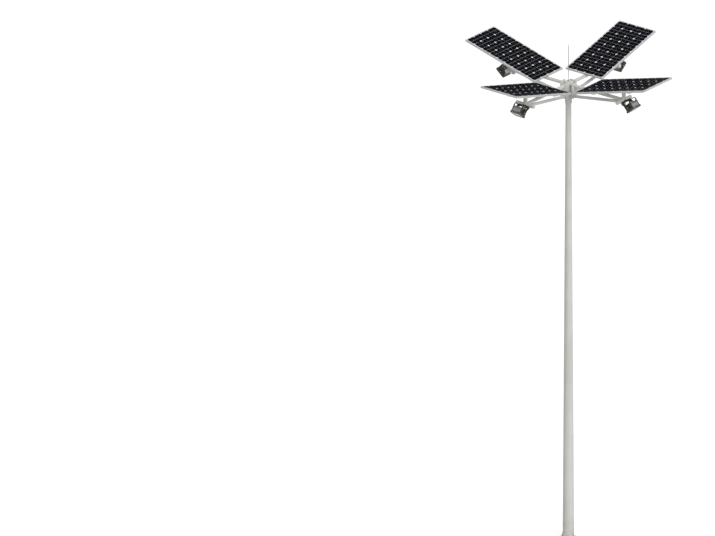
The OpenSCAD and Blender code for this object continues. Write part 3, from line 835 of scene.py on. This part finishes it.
# %% [markdown]
# ## Screws
# Screws are what give a casting its scale. Each is a lathe profile with a sunken middle, in a
# dark ring of painted shade where it is countersunk. The hinge has a steel bolt with a hexagon
# socket, and three brass screws hold each casting to the bezel. All screws of one metal are a
# single piece, because they share one finish.

# %% Screws
CASTING_SPOTS = [(-74, 85), (-74, 25), (-74, -35), (-74, -95), (-18, 89), (-18, -93)]
BRASS_SPOTS = [(35, 57), (35, -5.5), (35, -68)]
VENT_SPOT = (22, 72)
STEEL_R, BRASS_R = 3.4, 2.9


def pan_screw(r):
    """A low domed screw head with a sunken middle, standing on z = 0. r is its radius."""
    return lathe([(r, 0), (r, 0.25 * r), (0.75 * r, 0.5 * r), (0.42 * r, 0.55 * r),
                  (0.38 * r, 0.15 * r)], 12)


def on_side(shape, spots):
    """A shape at each (x, z) place on the outer face of both castings."""
    return both_sides(shape.placed(ALONG_Y).copies([(x, SIDE_Y, z) for x, z in spots]))


hinge_bolt = lathe([(7, -2), (7, 2), (6, 2.9), (3.4, 2.9), (3.2, 0.6)], 24)
hinge_bolt = hinge_bolt.copies([(0, 0, KNOB_TOP)]).placed(ALONG_Y)
cover_screws = pan_screw(STEEL_R).placed(ALONG_BACK).copies(
    [(BODY_BACK - COVER_T + 0.1, y, z) for y in (-58, 0, 58) for z in (-48, 48)])
steel_screws = on_side(pan_screw(STEEL_R), CASTING_SPOTS) + both_sides(hinge_bolt) + cover_screws
brass_screws = on_side(pan_screw(BRASS_R), BRASS_SPOTS)
on_brackets("lamp_screws", steel_screws.placed(LAMP), "lamp_{}", stainless)
on_brackets("lamp_brass_screws", brass_screws.placed(LAMP), "lamp_{}", brass)

# A thin dark ring under each screw: painted shade for its countersink.
sink = lathe([(4.9, -1), (4.9, 0.15), (4.7, 0.25)], 20)
vent_plug = plate(circle(8, 6), 0, 6.5, 1) + lathe([(9, 0), (9, 1.5), (8.5, 2)], 24)
painted_shade_and_plugs = on_side(sink, CASTING_SPOTS) + on_side(vent_plug, [VENT_SPOT])
print("dark rings and vent plugs:", len(painted_shade_and_plugs.points), "points, finished with the bezel")

# %% [markdown]
# ## The bezel
# The bezel is a square frame with round corners and a thin parting groove round its rim. The
# frame's section is a list of points, each a distance from the middle and a depth; at each point
# stands a rounded square of that size, and the list closes on itself. On both sides of the groove
# a deep slot is cut round each corner, to let water out: there only the ring's corner points are
# drawn in, and the rest stay at the rim.

# %% The bezel
BEZEL_FRONT, BEZEL_HALF, WINDOW_HALF = 86.0, 130.0, 110.0
CORNER_R, CORNER_R_LEAST, CORNER_STEPS = 22.0, 2.0, 8
GROOVE, GROOVE_W, GROOVE_DEEP, GROOVE_SLOPE = 59.0, 3.0, 4.0, 1.0
SLOTS, SLOT_W, SLOT_SLOPE = (47.5, 72.0), 6.5, 0.2


def square_ring(half, at, corners_only=False):
    """A rounded square about the X axis, nine points to a corner. Its corner radius shrinks with
    its size. With corners_only just the seven middle points of each corner are drawn in."""
    radius = max(CORNER_R - (BEZEL_HALF - half), CORNER_R_LEAST)
    ring = lifted(rounded(rectangle(half, half), radius, CORNER_STEPS), at)
    if corners_only:
        ends = np.arange(len(ring)) % (CORNER_STEPS + 1) % CORNER_STEPS == 0
        ring[ends] = square_ring(BEZEL_HALF, at)[ends]
    return ring


def cut(at, width, slope, corners_only):
    """Four rings for a cut across the rim: edge, floor, floor, edge. The edges slope a little."""
    floor = BEZEL_HALF - GROOVE_DEEP
    return [(BEZEL_HALF, at - slope, False), (floor, at + 0.3, corners_only),
            (floor, at + width - 0.3, corners_only), (BEZEL_HALF, at + width + slope, False)]


rim_points = [(WINDOW_HALF, BEZEL_BACK, False), (BEZEL_HALF - 2, BEZEL_BACK, False),
              (BEZEL_HALF, BEZEL_BACK + 2, False)]
rim_points += cut(SLOTS[0], SLOT_W, SLOT_SLOPE, True)
rim_points += cut(GROOVE, GROOVE_W, GROOVE_SLOPE, False)
rim_points += cut(SLOTS[1], SLOT_W, SLOT_SLOPE, True)
rim_points += [(BEZEL_HALF - inward, BEZEL_FRONT - back, False)
               for inward, back in ((0, 6), (1, 2.8), (2.8, 1), (6, 0))]
rim_points += [(WINDOW_HALF + 3, BEZEL_FRONT - 0.4, False), (WINDOW_HALF, BEZEL_FRONT - 2.5, False)]
bezel = skin([square_ring(*point) for point in rim_points], closed=True)
on_brackets("lamp_front", bezel.placed(ALONG_X).placed(LAMP), "lamp_{}",
            charcoal, ["lamp_bezel_{}"])

# %% [markdown]
# ## Dark slots
# A slot that leads into the casting looks black, because no light comes back out of it. A dark
# band on the slot's floor is painted shade for the depth behind it. The bands join the painted
# shade rings and the plugs of the castings in one piece.

# %% Dark slots
def corner_shade_band(k, at):
    """A flat strip of painted shade on a slot's floor, round corner k: four corners of its section per point."""
    first = (CORNER_STEPS + 1) * k + 1
    inner, outer = (square_ring(BEZEL_HALF - GROOVE_DEEP + h, 0)[first:first + CORNER_STEPS - 1]
                    for h in (-0.5, 0.6))
    low, high = Z * (at + 0.5), Z * (at + SLOT_W - 0.5)
    return skin(np.stack([inner + low, inner + high, outer + high, outer + low], 1))


shade_bands = [corner_shade_band(k, at) for k in range(4) for at in SLOTS]
painted_shade_and_plugs = sum(shade_bands[1:], shade_bands[0]).placed(ALONG_X) + painted_shade_and_plugs
on_brackets("lamp_dark_bits", painted_shade_and_plugs.placed(LAMP), "lamp_{}", black)

# %% [markdown]
# ## Light boards
# Three boards fill the window. Each has a raised border, a thin bead inside it and a blank field
# in the middle. All three lines are pierced plates between two rectangles, standing a little
# proud of the board.

# %% Light boards
BOARD_W, BOARD_GAP, BOARD_BACK, BOARD_FACE = 218.0, 3.0, 69.0, 79.0
BORDER_W, BORDER_H = 7.5, 2.0
BOARD_H = (BOARD_W - 2 * BOARD_GAP) / 3
board_z = (BOARD_H + BOARD_GAP) * np.array([-1.0, 0.0, 1.0])
half_w, half_h = BOARD_W / 2, BOARD_H / 2


def board_line(out_y, out_z, in_y, in_z, height, bevel):
    """A raised rectangular line on the board: a pierced plate between two rectangles."""
    outside, inside = rounded(rectangle(out_y, out_z), 1.5), rounded(rectangle(in_y, in_z), 1.0)
    return pierced(outside, inside, (0, 0), BOARD_FACE - 1, BOARD_FACE + height, bevel)


def on_boards(shape):
    """A shape on each of the three boards."""
    return shape.copies([(0, 0, z) for z in board_z])


board = plate(rounded(rectangle(half_w, half_h), 1.5), BOARD_BACK, BOARD_FACE, 0.5)
board += board_line(half_w - 0.3, half_h - 0.3, half_w - BORDER_W, half_h - BORDER_W,
                    BORDER_H, 0.6)
board += board_line(half_w - 9.5, half_h - 9.0, half_w - 10.7, half_h - 10.2, 0.9, 0.35)
board += board_line(11.5, 17.0, 10.6, 16.1, 0.6, 0.25)
on_brackets("lamp_boards", on_boards(board.placed(ALONG_X)).placed(LAMP), "lamp_{}",
            board_white, ["light_modules_{}"])

# %% [markdown]
# ## Lenses
# Each board has 28 lenses in four rows. A real lens is a clear dome over a yellow chip. Clear
# glass over a tiny chip costs many light bounces and looks nearly the same as a glossy dome
# painted yellow at its middle, with a painted highlight in a bright ring towards its rim, so that
# is what is made: the pattern map holds each point's distance from its lens's axis, and a second
# number that says which lens is warmer.

# %% Lenses
LENS_R, LENS_PITCH, OUTER_ROW, INNER_ROW = 7.4, 25.35, 19.0, 7.8


def spots(ys, zs, x):
    """Every pair of a y and a z, all at one x."""
    y, z = (side.ravel() for side in np.meshgrid(ys, zs))
    return np.column_stack([np.full(len(y), float(x)), y, z])


outer = LENS_PITCH * (np.arange(8) - 3.5)
inner = LENS_PITCH * np.array([-3, -2, -1, 1, 2, 3])
lens_spots = np.vstack([spots(outer, (-OUTER_ROW, OUTER_ROW), BOARD_FACE),
                        spots(inner, (-INNER_ROW, INNER_ROW), BOARD_FACE)])
amber = np.zeros((len(lens_spots), 2))
amber[0, 1] = 1.0  # one lens on each board sits over a warmer chip
dome = lathe([(8.3, -0.5), (8.3, 0.5), (7.9, 0.8), (LENS_R, 0.8), (7.15, 2.2), (5.9, 4.0),
              (3.9, 5.4), (1.5, 6.1)], 16)
dome.pattern[:, 0] = np.hypot(dome.points[:, 0], dome.points[:, 1]) / LENS_R
lenses = on_boards(dome.placed(ALONG_X).copies(lens_spots, amber))


def lens_glass(place):
    """Out from the axis: yellow or amber chip, greyish glass, a bright ring of painted highlight, a grey collar.
    """
    pattern = place.node("ShaderNodeUVMap", {"uv_map": "pattern"})
    radius, warm = pattern.part(0), pattern.part(1)
    chip = warm.mix((0.76, 0.67, 0.13), (0.80, 0.42, 0.08))
    # The glass lightens towards the rim: a painted highlight.
    glass = radius.step(0.45, 0.95).mix((0.62, 0.625, 0.57), (0.90, 0.91, 0.88))
    glass = radius.step(1.0, 1.06).mix(glass, (0.40, 0.405, 0.37))
    return {"Base Color": radius.step(0.24, 0.46).mix(chip, glass),
            "Roughness": 0.12 + 0.2 * radius}


lens_finish = finish("lens_glass", {"Coat Weight": 0.8, "Coat Roughness": 0.03}, lens_glass)
on_brackets("lamp_lenses", lenses.placed(LAMP), "lamp_{}", lens_finish)
print("lenses on a lamp:", len(lens_spots) * len(board_z))

# %% [markdown]
# ## Board screws
# Fourteen hexagon socket screws run round each board and six more stand between the lenses. They
# are so small and so many that each is only a ring of six sides with a sunken middle.

# %% Board screws
SCREW_MARGIN = 3.6
edge_y, edge_z = half_w - SCREW_MARGIN, half_h - SCREW_MARGIN
border_top, middle_y = BOARD_FACE + BORDER_H - 0.2, 2.5 * LENS_PITCH
across = np.linspace(-edge_y, edge_y, 6)
screw_spots = np.vstack([spots(across, (-edge_z, edge_z), border_top),
                         spots((-edge_y, edge_y), (0,), border_top),
                         spots((-LENS_PITCH, LENS_PITCH), (-OUTER_ROW, OUTER_ROW), BOARD_FACE),
                         spots((-middle_y, middle_y), (0,), BOARD_FACE)])
socket_screw = lathe([(2.5, -0.3), (2.5, 0.5), (2.1, 0.8), (1.2, 0.8), (1.1, 0.1)], 6)
board_screws = on_boards(socket_screw.placed(ALONG_X).copies(screw_spots))
dark_steel = finish("socket_steel", {"Metallic": 0.6},
                    drawn_metal((0.22, 0.22, 0.20), (0.12, 0.12, 0.11)))
on_brackets("lamp_board_screws", board_screws.placed(LAMP), "lamp_{}", dark_steel)

# %% [markdown]
# ## The stirrup
# The stirrup holds the floodlight on its crossbar. Its legs end round about the hinge; its cross
# plate has a long slot and two turned-up lips that keep it stiff; a saddle with a round seat
# joins it to the crossbar, and two bolts through the slot hold it. Each part is a plate again: an
# outline in its own plane, given a thickness and a bevel.

# %% The stirrup
PLATE_X, HALF_W, SADDLE_W, BAR_R = (-198.0, -190.0), 26.0, 100.0, 42.0
LEG_T, LEG_END_R, LEG_HOLE_R, LEG_CORNER = 14.0, 32.0, 8.1, 10
SLOT_END_Y, SLOT_R, CLAMP_Y, LIP_H = 62, 6.5, 32, 8
SEAT_R = BAR_R + 0.2

meet = math.atan2(HALF_W, -math.sqrt(LEG_END_R ** 2 - HALF_W ** 2))
corner = HALF_W - LEG_CORNER
leg_rim = np.vstack([circle(LEG_END_R, 40, -meet, meet),
                     [(PLATE_X[0] + LEG_CORNER, HALF_W), (PLATE_X[0], corner),
                      (PLATE_X[0], -corner), (PLATE_X[0] + LEG_CORNER, -HALF_W)]])
leg = pierced(leg_rim, circle(LEG_HOLE_R, 32), (0, 0), LEG_Y, LEG_Y + LEG_T, 1.8)

stadium = np.vstack([circle(SLOT_R, 12, -math.pi / 2, math.pi / 2, SLOT_END_Y),
                     circle(SLOT_R, 12, math.pi / 2, 3 * math.pi / 2, -SLOT_END_Y)])
cross_plate = pierced(rounded(rectangle(LEG_Y + 1, HALF_W), 2), stadium, (0, 0), *PLATE_X, 1.0)
lip = plate(rectangle(LEG_Y - 2, 2, 0, HALF_W - 2), PLATE_X[1] - 1, PLATE_X[1] + LIP_H, 0.7)
cross_plate += lip + lip.placed(MIRROR)

seat = math.asin(HALF_W / SEAT_R)
saddle = np.vstack([[(PLATE_X[0] + 0.5, -HALF_W), (PLATE_X[0] + 0.5, HALF_W)],
                    circle(SEAT_R, 14, seat, -seat, -PIVOT_REACH)])
saddle = plate(saddle, -SADDLE_W / 2, SADDLE_W / 2, 0.8)
stirrup = both_sides(leg.placed(ALONG_Y)) + cross_plate.placed(ALONG_X)
stirrup += saddle.placed(ALONG_Y)
on_brackets("lamp_stirrup", stirrup.placed(STIRRUP), "mast", brown, ["stirrup_{}"])

clamp_bolts = hex_bolt(9).placed(ALONG_X).copies(spots((-CLAMP_Y, CLAMP_Y), (0,), PLATE_X[1]))
on_brackets("stirrup_bolts", clamp_bolts.placed(STIRRUP), "mast", stainless)

# %% [markdown]
# ## Hub bolts
# Each bracket is bolted through its root plate to the hub with six bolts, with nuts behind. Four
# more screws low on the sleeve hold it on the mast. They are laid out by `copies` and turned
# round the mast by `spun`.

# %% Hub bolts
ROOT_PLATE_T, HUB_BOLT, HUB_BOLT_Y, HUB_BOLT_MARGIN = 12.0, 14, 58, 42
GRIP_RISE, GRIP_AT = 45, 74.6
QUARTERS = np.radians([0, 90, 180, 270])

root_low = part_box("upper_arm_1")[0]
hub_low, hub_high = (corner.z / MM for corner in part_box("hub"))
plate_face = root_low.x / MM + ROOT_PLATE_T
rows = np.linspace(root_low.z / MM + HUB_BOLT_MARGIN, hub_high - HUB_BOLT_MARGIN, 3)
front = spots((-HUB_BOLT_Y, HUB_BOLT_Y), rows, plate_face)
bolts = hex_bolt(HUB_BOLT).placed(ALONG_X).copies(front)
bolts += hex_bolt(HUB_BOLT).placed(ALONG_BACK).copies(front - 2 * ROOT_PLATE_T * X)
bolts = spun(bolts, QUARTERS)
grip = lathe([(9, -1), (9, 1.2), (8, 2), (4.5, 2), (4.2, -1)], 16).placed(ALONG_X)
bolts += spun(grip.copies([(GRIP_AT, 0, hub_low + GRIP_RISE)]), QUARTERS + math.radians(45))
piece("hub_bolts", bolts.placed(WORLD), "mast", zinc)
print("hub_bolts:", made["hub_bolts"], "triangles")

# %% [markdown]
# ## Where two tubes meet
# Where two tubes meet, a welder leaves a rippled bead, and a joint without one looks like two
# shapes pushed into each other. The path is found as a pipe fitter marks it: lines along one
# tube's skin are run out until they touch the other tube. The distance solves a quadratic, with
# the parts along the other tube's axis left out. The bead is then a bar along that path, whose
# radius swells and shrinks.

# %% Where two tubes meet
RIPPLES, RIPPLE = 40, 0.14


def ring(centre, axis, radius, sides=56):
    """A circle in space, square to its axis."""
    axis = np.asarray(axis, float)
    side = unit(np.cross(axis, (0.3, 0.5, 0.81)))
    angle = np.linspace(0, 2 * math.pi, sides, endpoint=False)[:, None]
    round_it = np.cos(angle) * side + np.sin(angle) * np.cross(axis, side)
    return np.asarray(centre) + radius * round_it


def touch(points, heading, tubes):
    """Each point moved along the heading to the nearest tube: t = (-b - sqrt(b b - a c)) / a,
    with a = d.d, b = p.d and c = p.p - r r, where p and d lack their parts along the axis."""
    best = np.full(len(points), np.inf)
    for centre, axis, radius in tubes:
        p, axis = points - np.asarray(centre, float), np.asarray(axis, float)
        p, d = p - np.outer(p @ axis, axis), heading - (heading @ axis) * axis
        a, b, c = d @ d, p @ d, np.sum(p * p, 1) - radius ** 2
        inside = b * b - a * c
        t = (-b - np.sqrt(np.maximum(inside, 0))) / a
        best = np.where(inside >= 0, np.minimum(best, t), best)
    return points + heading * best[:, None]


def on_plane(points, heading, through, normal):
    """Each point moved along the heading to a plane: t = (q - p).n / d.n."""
    t = (np.asarray(through) - points) @ normal / (heading @ normal)
    return points + heading * t[:, None]


def weld(path, axis, radius=3.4):
    """A closed bead whose radius ripples 40 times on its way round."""
    angle = np.linspace(0, RIPPLES * 2 * math.pi, len(path), endpoint=False)
    return bar(path, radius * (1 + RIPPLE * np.sin(angle)), axis, closed=True, sides=6)


print("a weld of 56 steps has", len(weld(ring((0, 0, 0), Z, 30), Z).points), "points")

# %% [markdown]
# ## Welds on a bracket
# A bracket has eleven beads. Each starts as a ring somewhere along its tube, and is run along the
# tube to the plate or the tube that it meets. At the bracket's outer end the arm and the brace
# each touch two or three tubes at once, and the nearest one wins.

# %% Welds on a bracket
ARM_R, BRACE_R, POST_R, SLEEVE_R, PLATE_BACK = 38.0, 34.0, 44.0, 75.0, 143.0
BRACE_ROOT, BRACE_END = 248.0, 43.0  # below the arm's axis, at the root plate and at the crossbar
MIDWAY, IN_STUB, BESIDE_POST = 500.0, 140.0, 150.0  # where the rings start

head = np.array([bar_x, 0, bar_z])
arm_tube, crossbar, post = (head, X, ARM_R), (head, Y, BAR_R), (head, Z, POST_R)
sleeve = (np.zeros(3), Z, SLEEVE_R)
brace_start = np.array([plate_face, 0, bar_z - BRACE_ROOT])
brace_way = unit(np.array([bar_x - plate_face, 0, BRACE_ROOT - BRACE_END]))
head_plate = (PANEL[:3, 3] + PANEL[:3, 2] * (BEAM_TOP - BEAM_H - HEAD_T)) / MM

def on_line(out, drop, radius):
    """A ring about a level line: out along X, and drop below the arm's axis."""
    return ring((out, 0, bar_z - drop), X, radius)


on_arm = on_line(MIDWAY, 0, ARM_R)
on_brace = ring(brace_start + MIDWAY * brace_way, brace_way, BRACE_R)
paths = [
    (on_plane(on_arm, -X, (plate_face, 0, 0), X), X),  # the arm on its root plate
    (touch(on_arm, X, [crossbar, post]), X),  # and at its outer end
    (on_plane(on_brace, -brace_way, (plate_face, 0, 0), X), brace_way),  # the brace likewise
    (touch(on_brace, brace_way, [arm_tube, crossbar, post]), brace_way),
    (touch(ring(head + Y * BESIDE_POST, Y, BAR_R), -Y, [post]), Y),  # the crossbar's two halves
    (touch(ring(head - Y * BESIDE_POST, Y, BAR_R), Y, [post]), Y),
    (on_plane(ring(head, Z, POST_R), Z, head_plate, PANEL[:3, 2] / MM), Z),  # the head plate
    (touch(on_line(IN_STUB, 0, ARM_R), -X, [sleeve]), X),  # the hub's two stubs, on its sleeve
    (touch(on_line(IN_STUB, BRACE_ROOT, BRACE_R), -X, [sleeve]), X),
    (on_line(PLATE_BACK, 0, ARM_R), X),  # and on the back of its plate
    (on_line(PLATE_BACK, BRACE_ROOT, BRACE_R), X),
]
beads = [weld(path, axis) for path, axis in paths]
on_brackets("bracket_welds", sum(beads[1:], beads[0]).placed(WORLD), "mast", paint)

# %% [markdown]
# ## Welds on the mast
# A tapered mast is rolled from one sheet, so a single straight seam runs up its back. At its foot
# it is welded to the base plate all round, and the four gussets are welded along both sides of
# both edges. These beads follow the mast's taper: its radius falls in a straight line from the
# foot to the top.

# %% Welds on the mast
BASE_T, GUSSET_TOP, GUSSET_TOE, GUSSET_HALF = 20.0, 180.0, 188.0, 6.0
POLE_FOOT_R, POLE_TOP_R, POLE_H = 126.0, 60.0, 10684.0
SEAM_ANGLE, SEAM_R, SEAM_SUNK, FILLET_R, FOOT_R = math.radians(155), 2.2, 0.6, 3.2, 5.0


def pole_radius(height):
    """The mast's radius at a height: foot + (top - foot) times height over the whole height."""
    return POLE_FOOT_R + (POLE_TOP_R - POLE_FOOT_R) * height / POLE_H


def fillet(x, z, way):
    """A bead along a gusset's face. Its radius ripples with the way gone, every 4 mm."""
    path = np.column_stack(np.broadcast_arrays(x, GUSSET_HALF, z))
    return bar(path, FILLET_R * (1 + 0.12 * np.sin(1.6 * way)), Y)


seam_z = np.array([BASE_T + 5, hub_low])
seam_r = pole_radius(seam_z) - SEAM_SUNK
seam = bar(np.column_stack([seam_r * math.cos(SEAM_ANGLE), seam_r * math.sin(SEAM_ANGLE), seam_z]),
           SEAM_R, X)

climb = np.linspace(BASE_T + 3, GUSSET_TOP - 2, 60)
climb_x = np.sqrt(pole_radius(climb) ** 2 - GUSSET_HALF ** 2)
foot_x = np.linspace(pole_radius(BASE_T) + 2, GUSSET_TOE - 2, 40)
gusset_welds = fillet(climb_x, climb, climb) + fillet(foot_x, BASE_T, foot_x)
foot_welds = spun(both_sides(gusset_welds), QUARTERS)
foot_welds += weld(ring((0, 0, BASE_T), Z, pole_radius(BASE_T), 160), Z, FOOT_R) + seam
piece("mast_welds", foot_welds.placed(WORLD), "mast", paint)
print("mast_welds:", made["mast_welds"], "triangles")

# %% [markdown]
# ## Finishes for the model's own solids
# Everything that isn't replaced keeps its exact shape and only gets its finish. The record lists
# each solid's material slot, so a table from slot to finish covers them all.

# %% Finishes for the model's own solids
by_slot = {"mast_paint": paint, "rod_steel": rod_metal, "rack_zinc": zinc,
           "frame_aluminium": aluminium, "solar_cells": cell_finish, "lamp_brown": brown,
           "heat_sink_grey": cooling_grey, "bezel_charcoal": charcoal, "module_white": board_white}
for part in frame["record"]["subparts"]:
    solid = frame["nodes"][part["node"]]
    if not solid.material_slots:
        solid.data.materials.append(None)
    for slot in solid.material_slots:
        slot.material = by_slot[part["material_slot"]]

# %% [markdown]
# ## Light
# The mast stands in plain daylight. The world is a soft grey light from everywhere, and one wide
# sun high at the front right makes the right sides brighter. To the camera, in mirrors and
# through glass the world is plain white: a mask from the kind of ray makes the difference.

# %% Light
SKY, SUN, SUN_WIDTH = 0.62, 1.5, math.radians(25)
SUN_FROM = unit(np.array([0.84, -0.28, 0.50]))
WHITE = (1, 1, 1, 1)


def seen_directly(wire):
    """1 for rays from the camera, from mirrors and through glass, 0 for light on its way."""
    seen = [wire.node("ShaderNodeLightPath", output=name)
            for name in ("Is Camera Ray", "Is Glossy Ray", "Is Transmission Ray")]
    return wire.math("MAXIMUM", wire.math("MAXIMUM", seen[0], seen[1]), seen[2])


world = bpy.data.worlds.new("daylight")
bpy.context.scene.world = world
world.use_nodes = True
background = world.node_tree.nodes["Background"]
background.inputs["Color"].default_value = WHITE
strength = SKY + (1 - SKY) * seen_directly(Wire(world.node_tree))
world.node_tree.links.new(strength.socket, background.inputs["Strength"])

sun_data = bpy.data.lights.new("sun", "SUN")
sun_data.energy, sun_data.angle = SUN, SUN_WIDTH
sun = bpy.data.objects.new("sun", sun_data)
sun.rotation_mode = "QUATERNION"
sun.rotation_quaternion = mathutils.Vector(SUN_FROM).to_track_quat("Z", "Y")
bpy.context.scene.collection.objects.link(sun)
bpy.context.scene.view_settings.view_transform = "Standard"
print("sky", SKY, "sun", SUN, "from", [round(float(way), 2) for way in SUN_FROM])

# %% [markdown]
# ## Floor
# The floor is a pale plane under the base plate. For the same kinds of ray as the world it adds
# white on top of its own shading, so that it looks white and still holds the mast's soft shadow.

# %% Floor
FLOOR_HALF, FLOOR_GREY, FLOOR_GLOW = 900.0, (0.5, 0.5, 0.5, 1.0), 0.68
floor_mesh = bpy.data.meshes.new("floor")
floor_mesh.from_pydata(lifted(rectangle(FLOOR_HALF, FLOOR_HALF), 0).tolist(), [], [(0, 1, 2, 3)])
floor = bpy.data.objects.new("floor", floor_mesh)
bpy.context.scene.collection.objects.link(floor)
floor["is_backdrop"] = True
floor_mesh.materials.append(finish(
    "floor", {"Base Color": FLOOR_GREY, "Roughness": 0.9, "Specular IOR Level": 0.0,
              "Emission Strength": 1.0},
    lambda place: {"Emission Color": (FLOOR_GLOW * seen_directly(place)).mix(
        (0.0, 0.0, 0.0), (1.0, 1.0, 1.0))}))
print("floor", FLOOR_HALF * 2, "m across")

# %% [markdown]
# ## The end of the lesson
# Both boxes are printed: the exact model's, and that of everything shown. They should agree.

# %% Sizes
boxes = {"cad": cad_box, "shown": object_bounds()}
boxes = {name: [list(corner) for corner in box] for name, box in boxes.items()}
print("pieces:", len(made), "triangles:", sum(made.values()))
for name, box in boxes.items():
    print(name, "box:", [[round(v, 4) for v in corner] for corner in box])
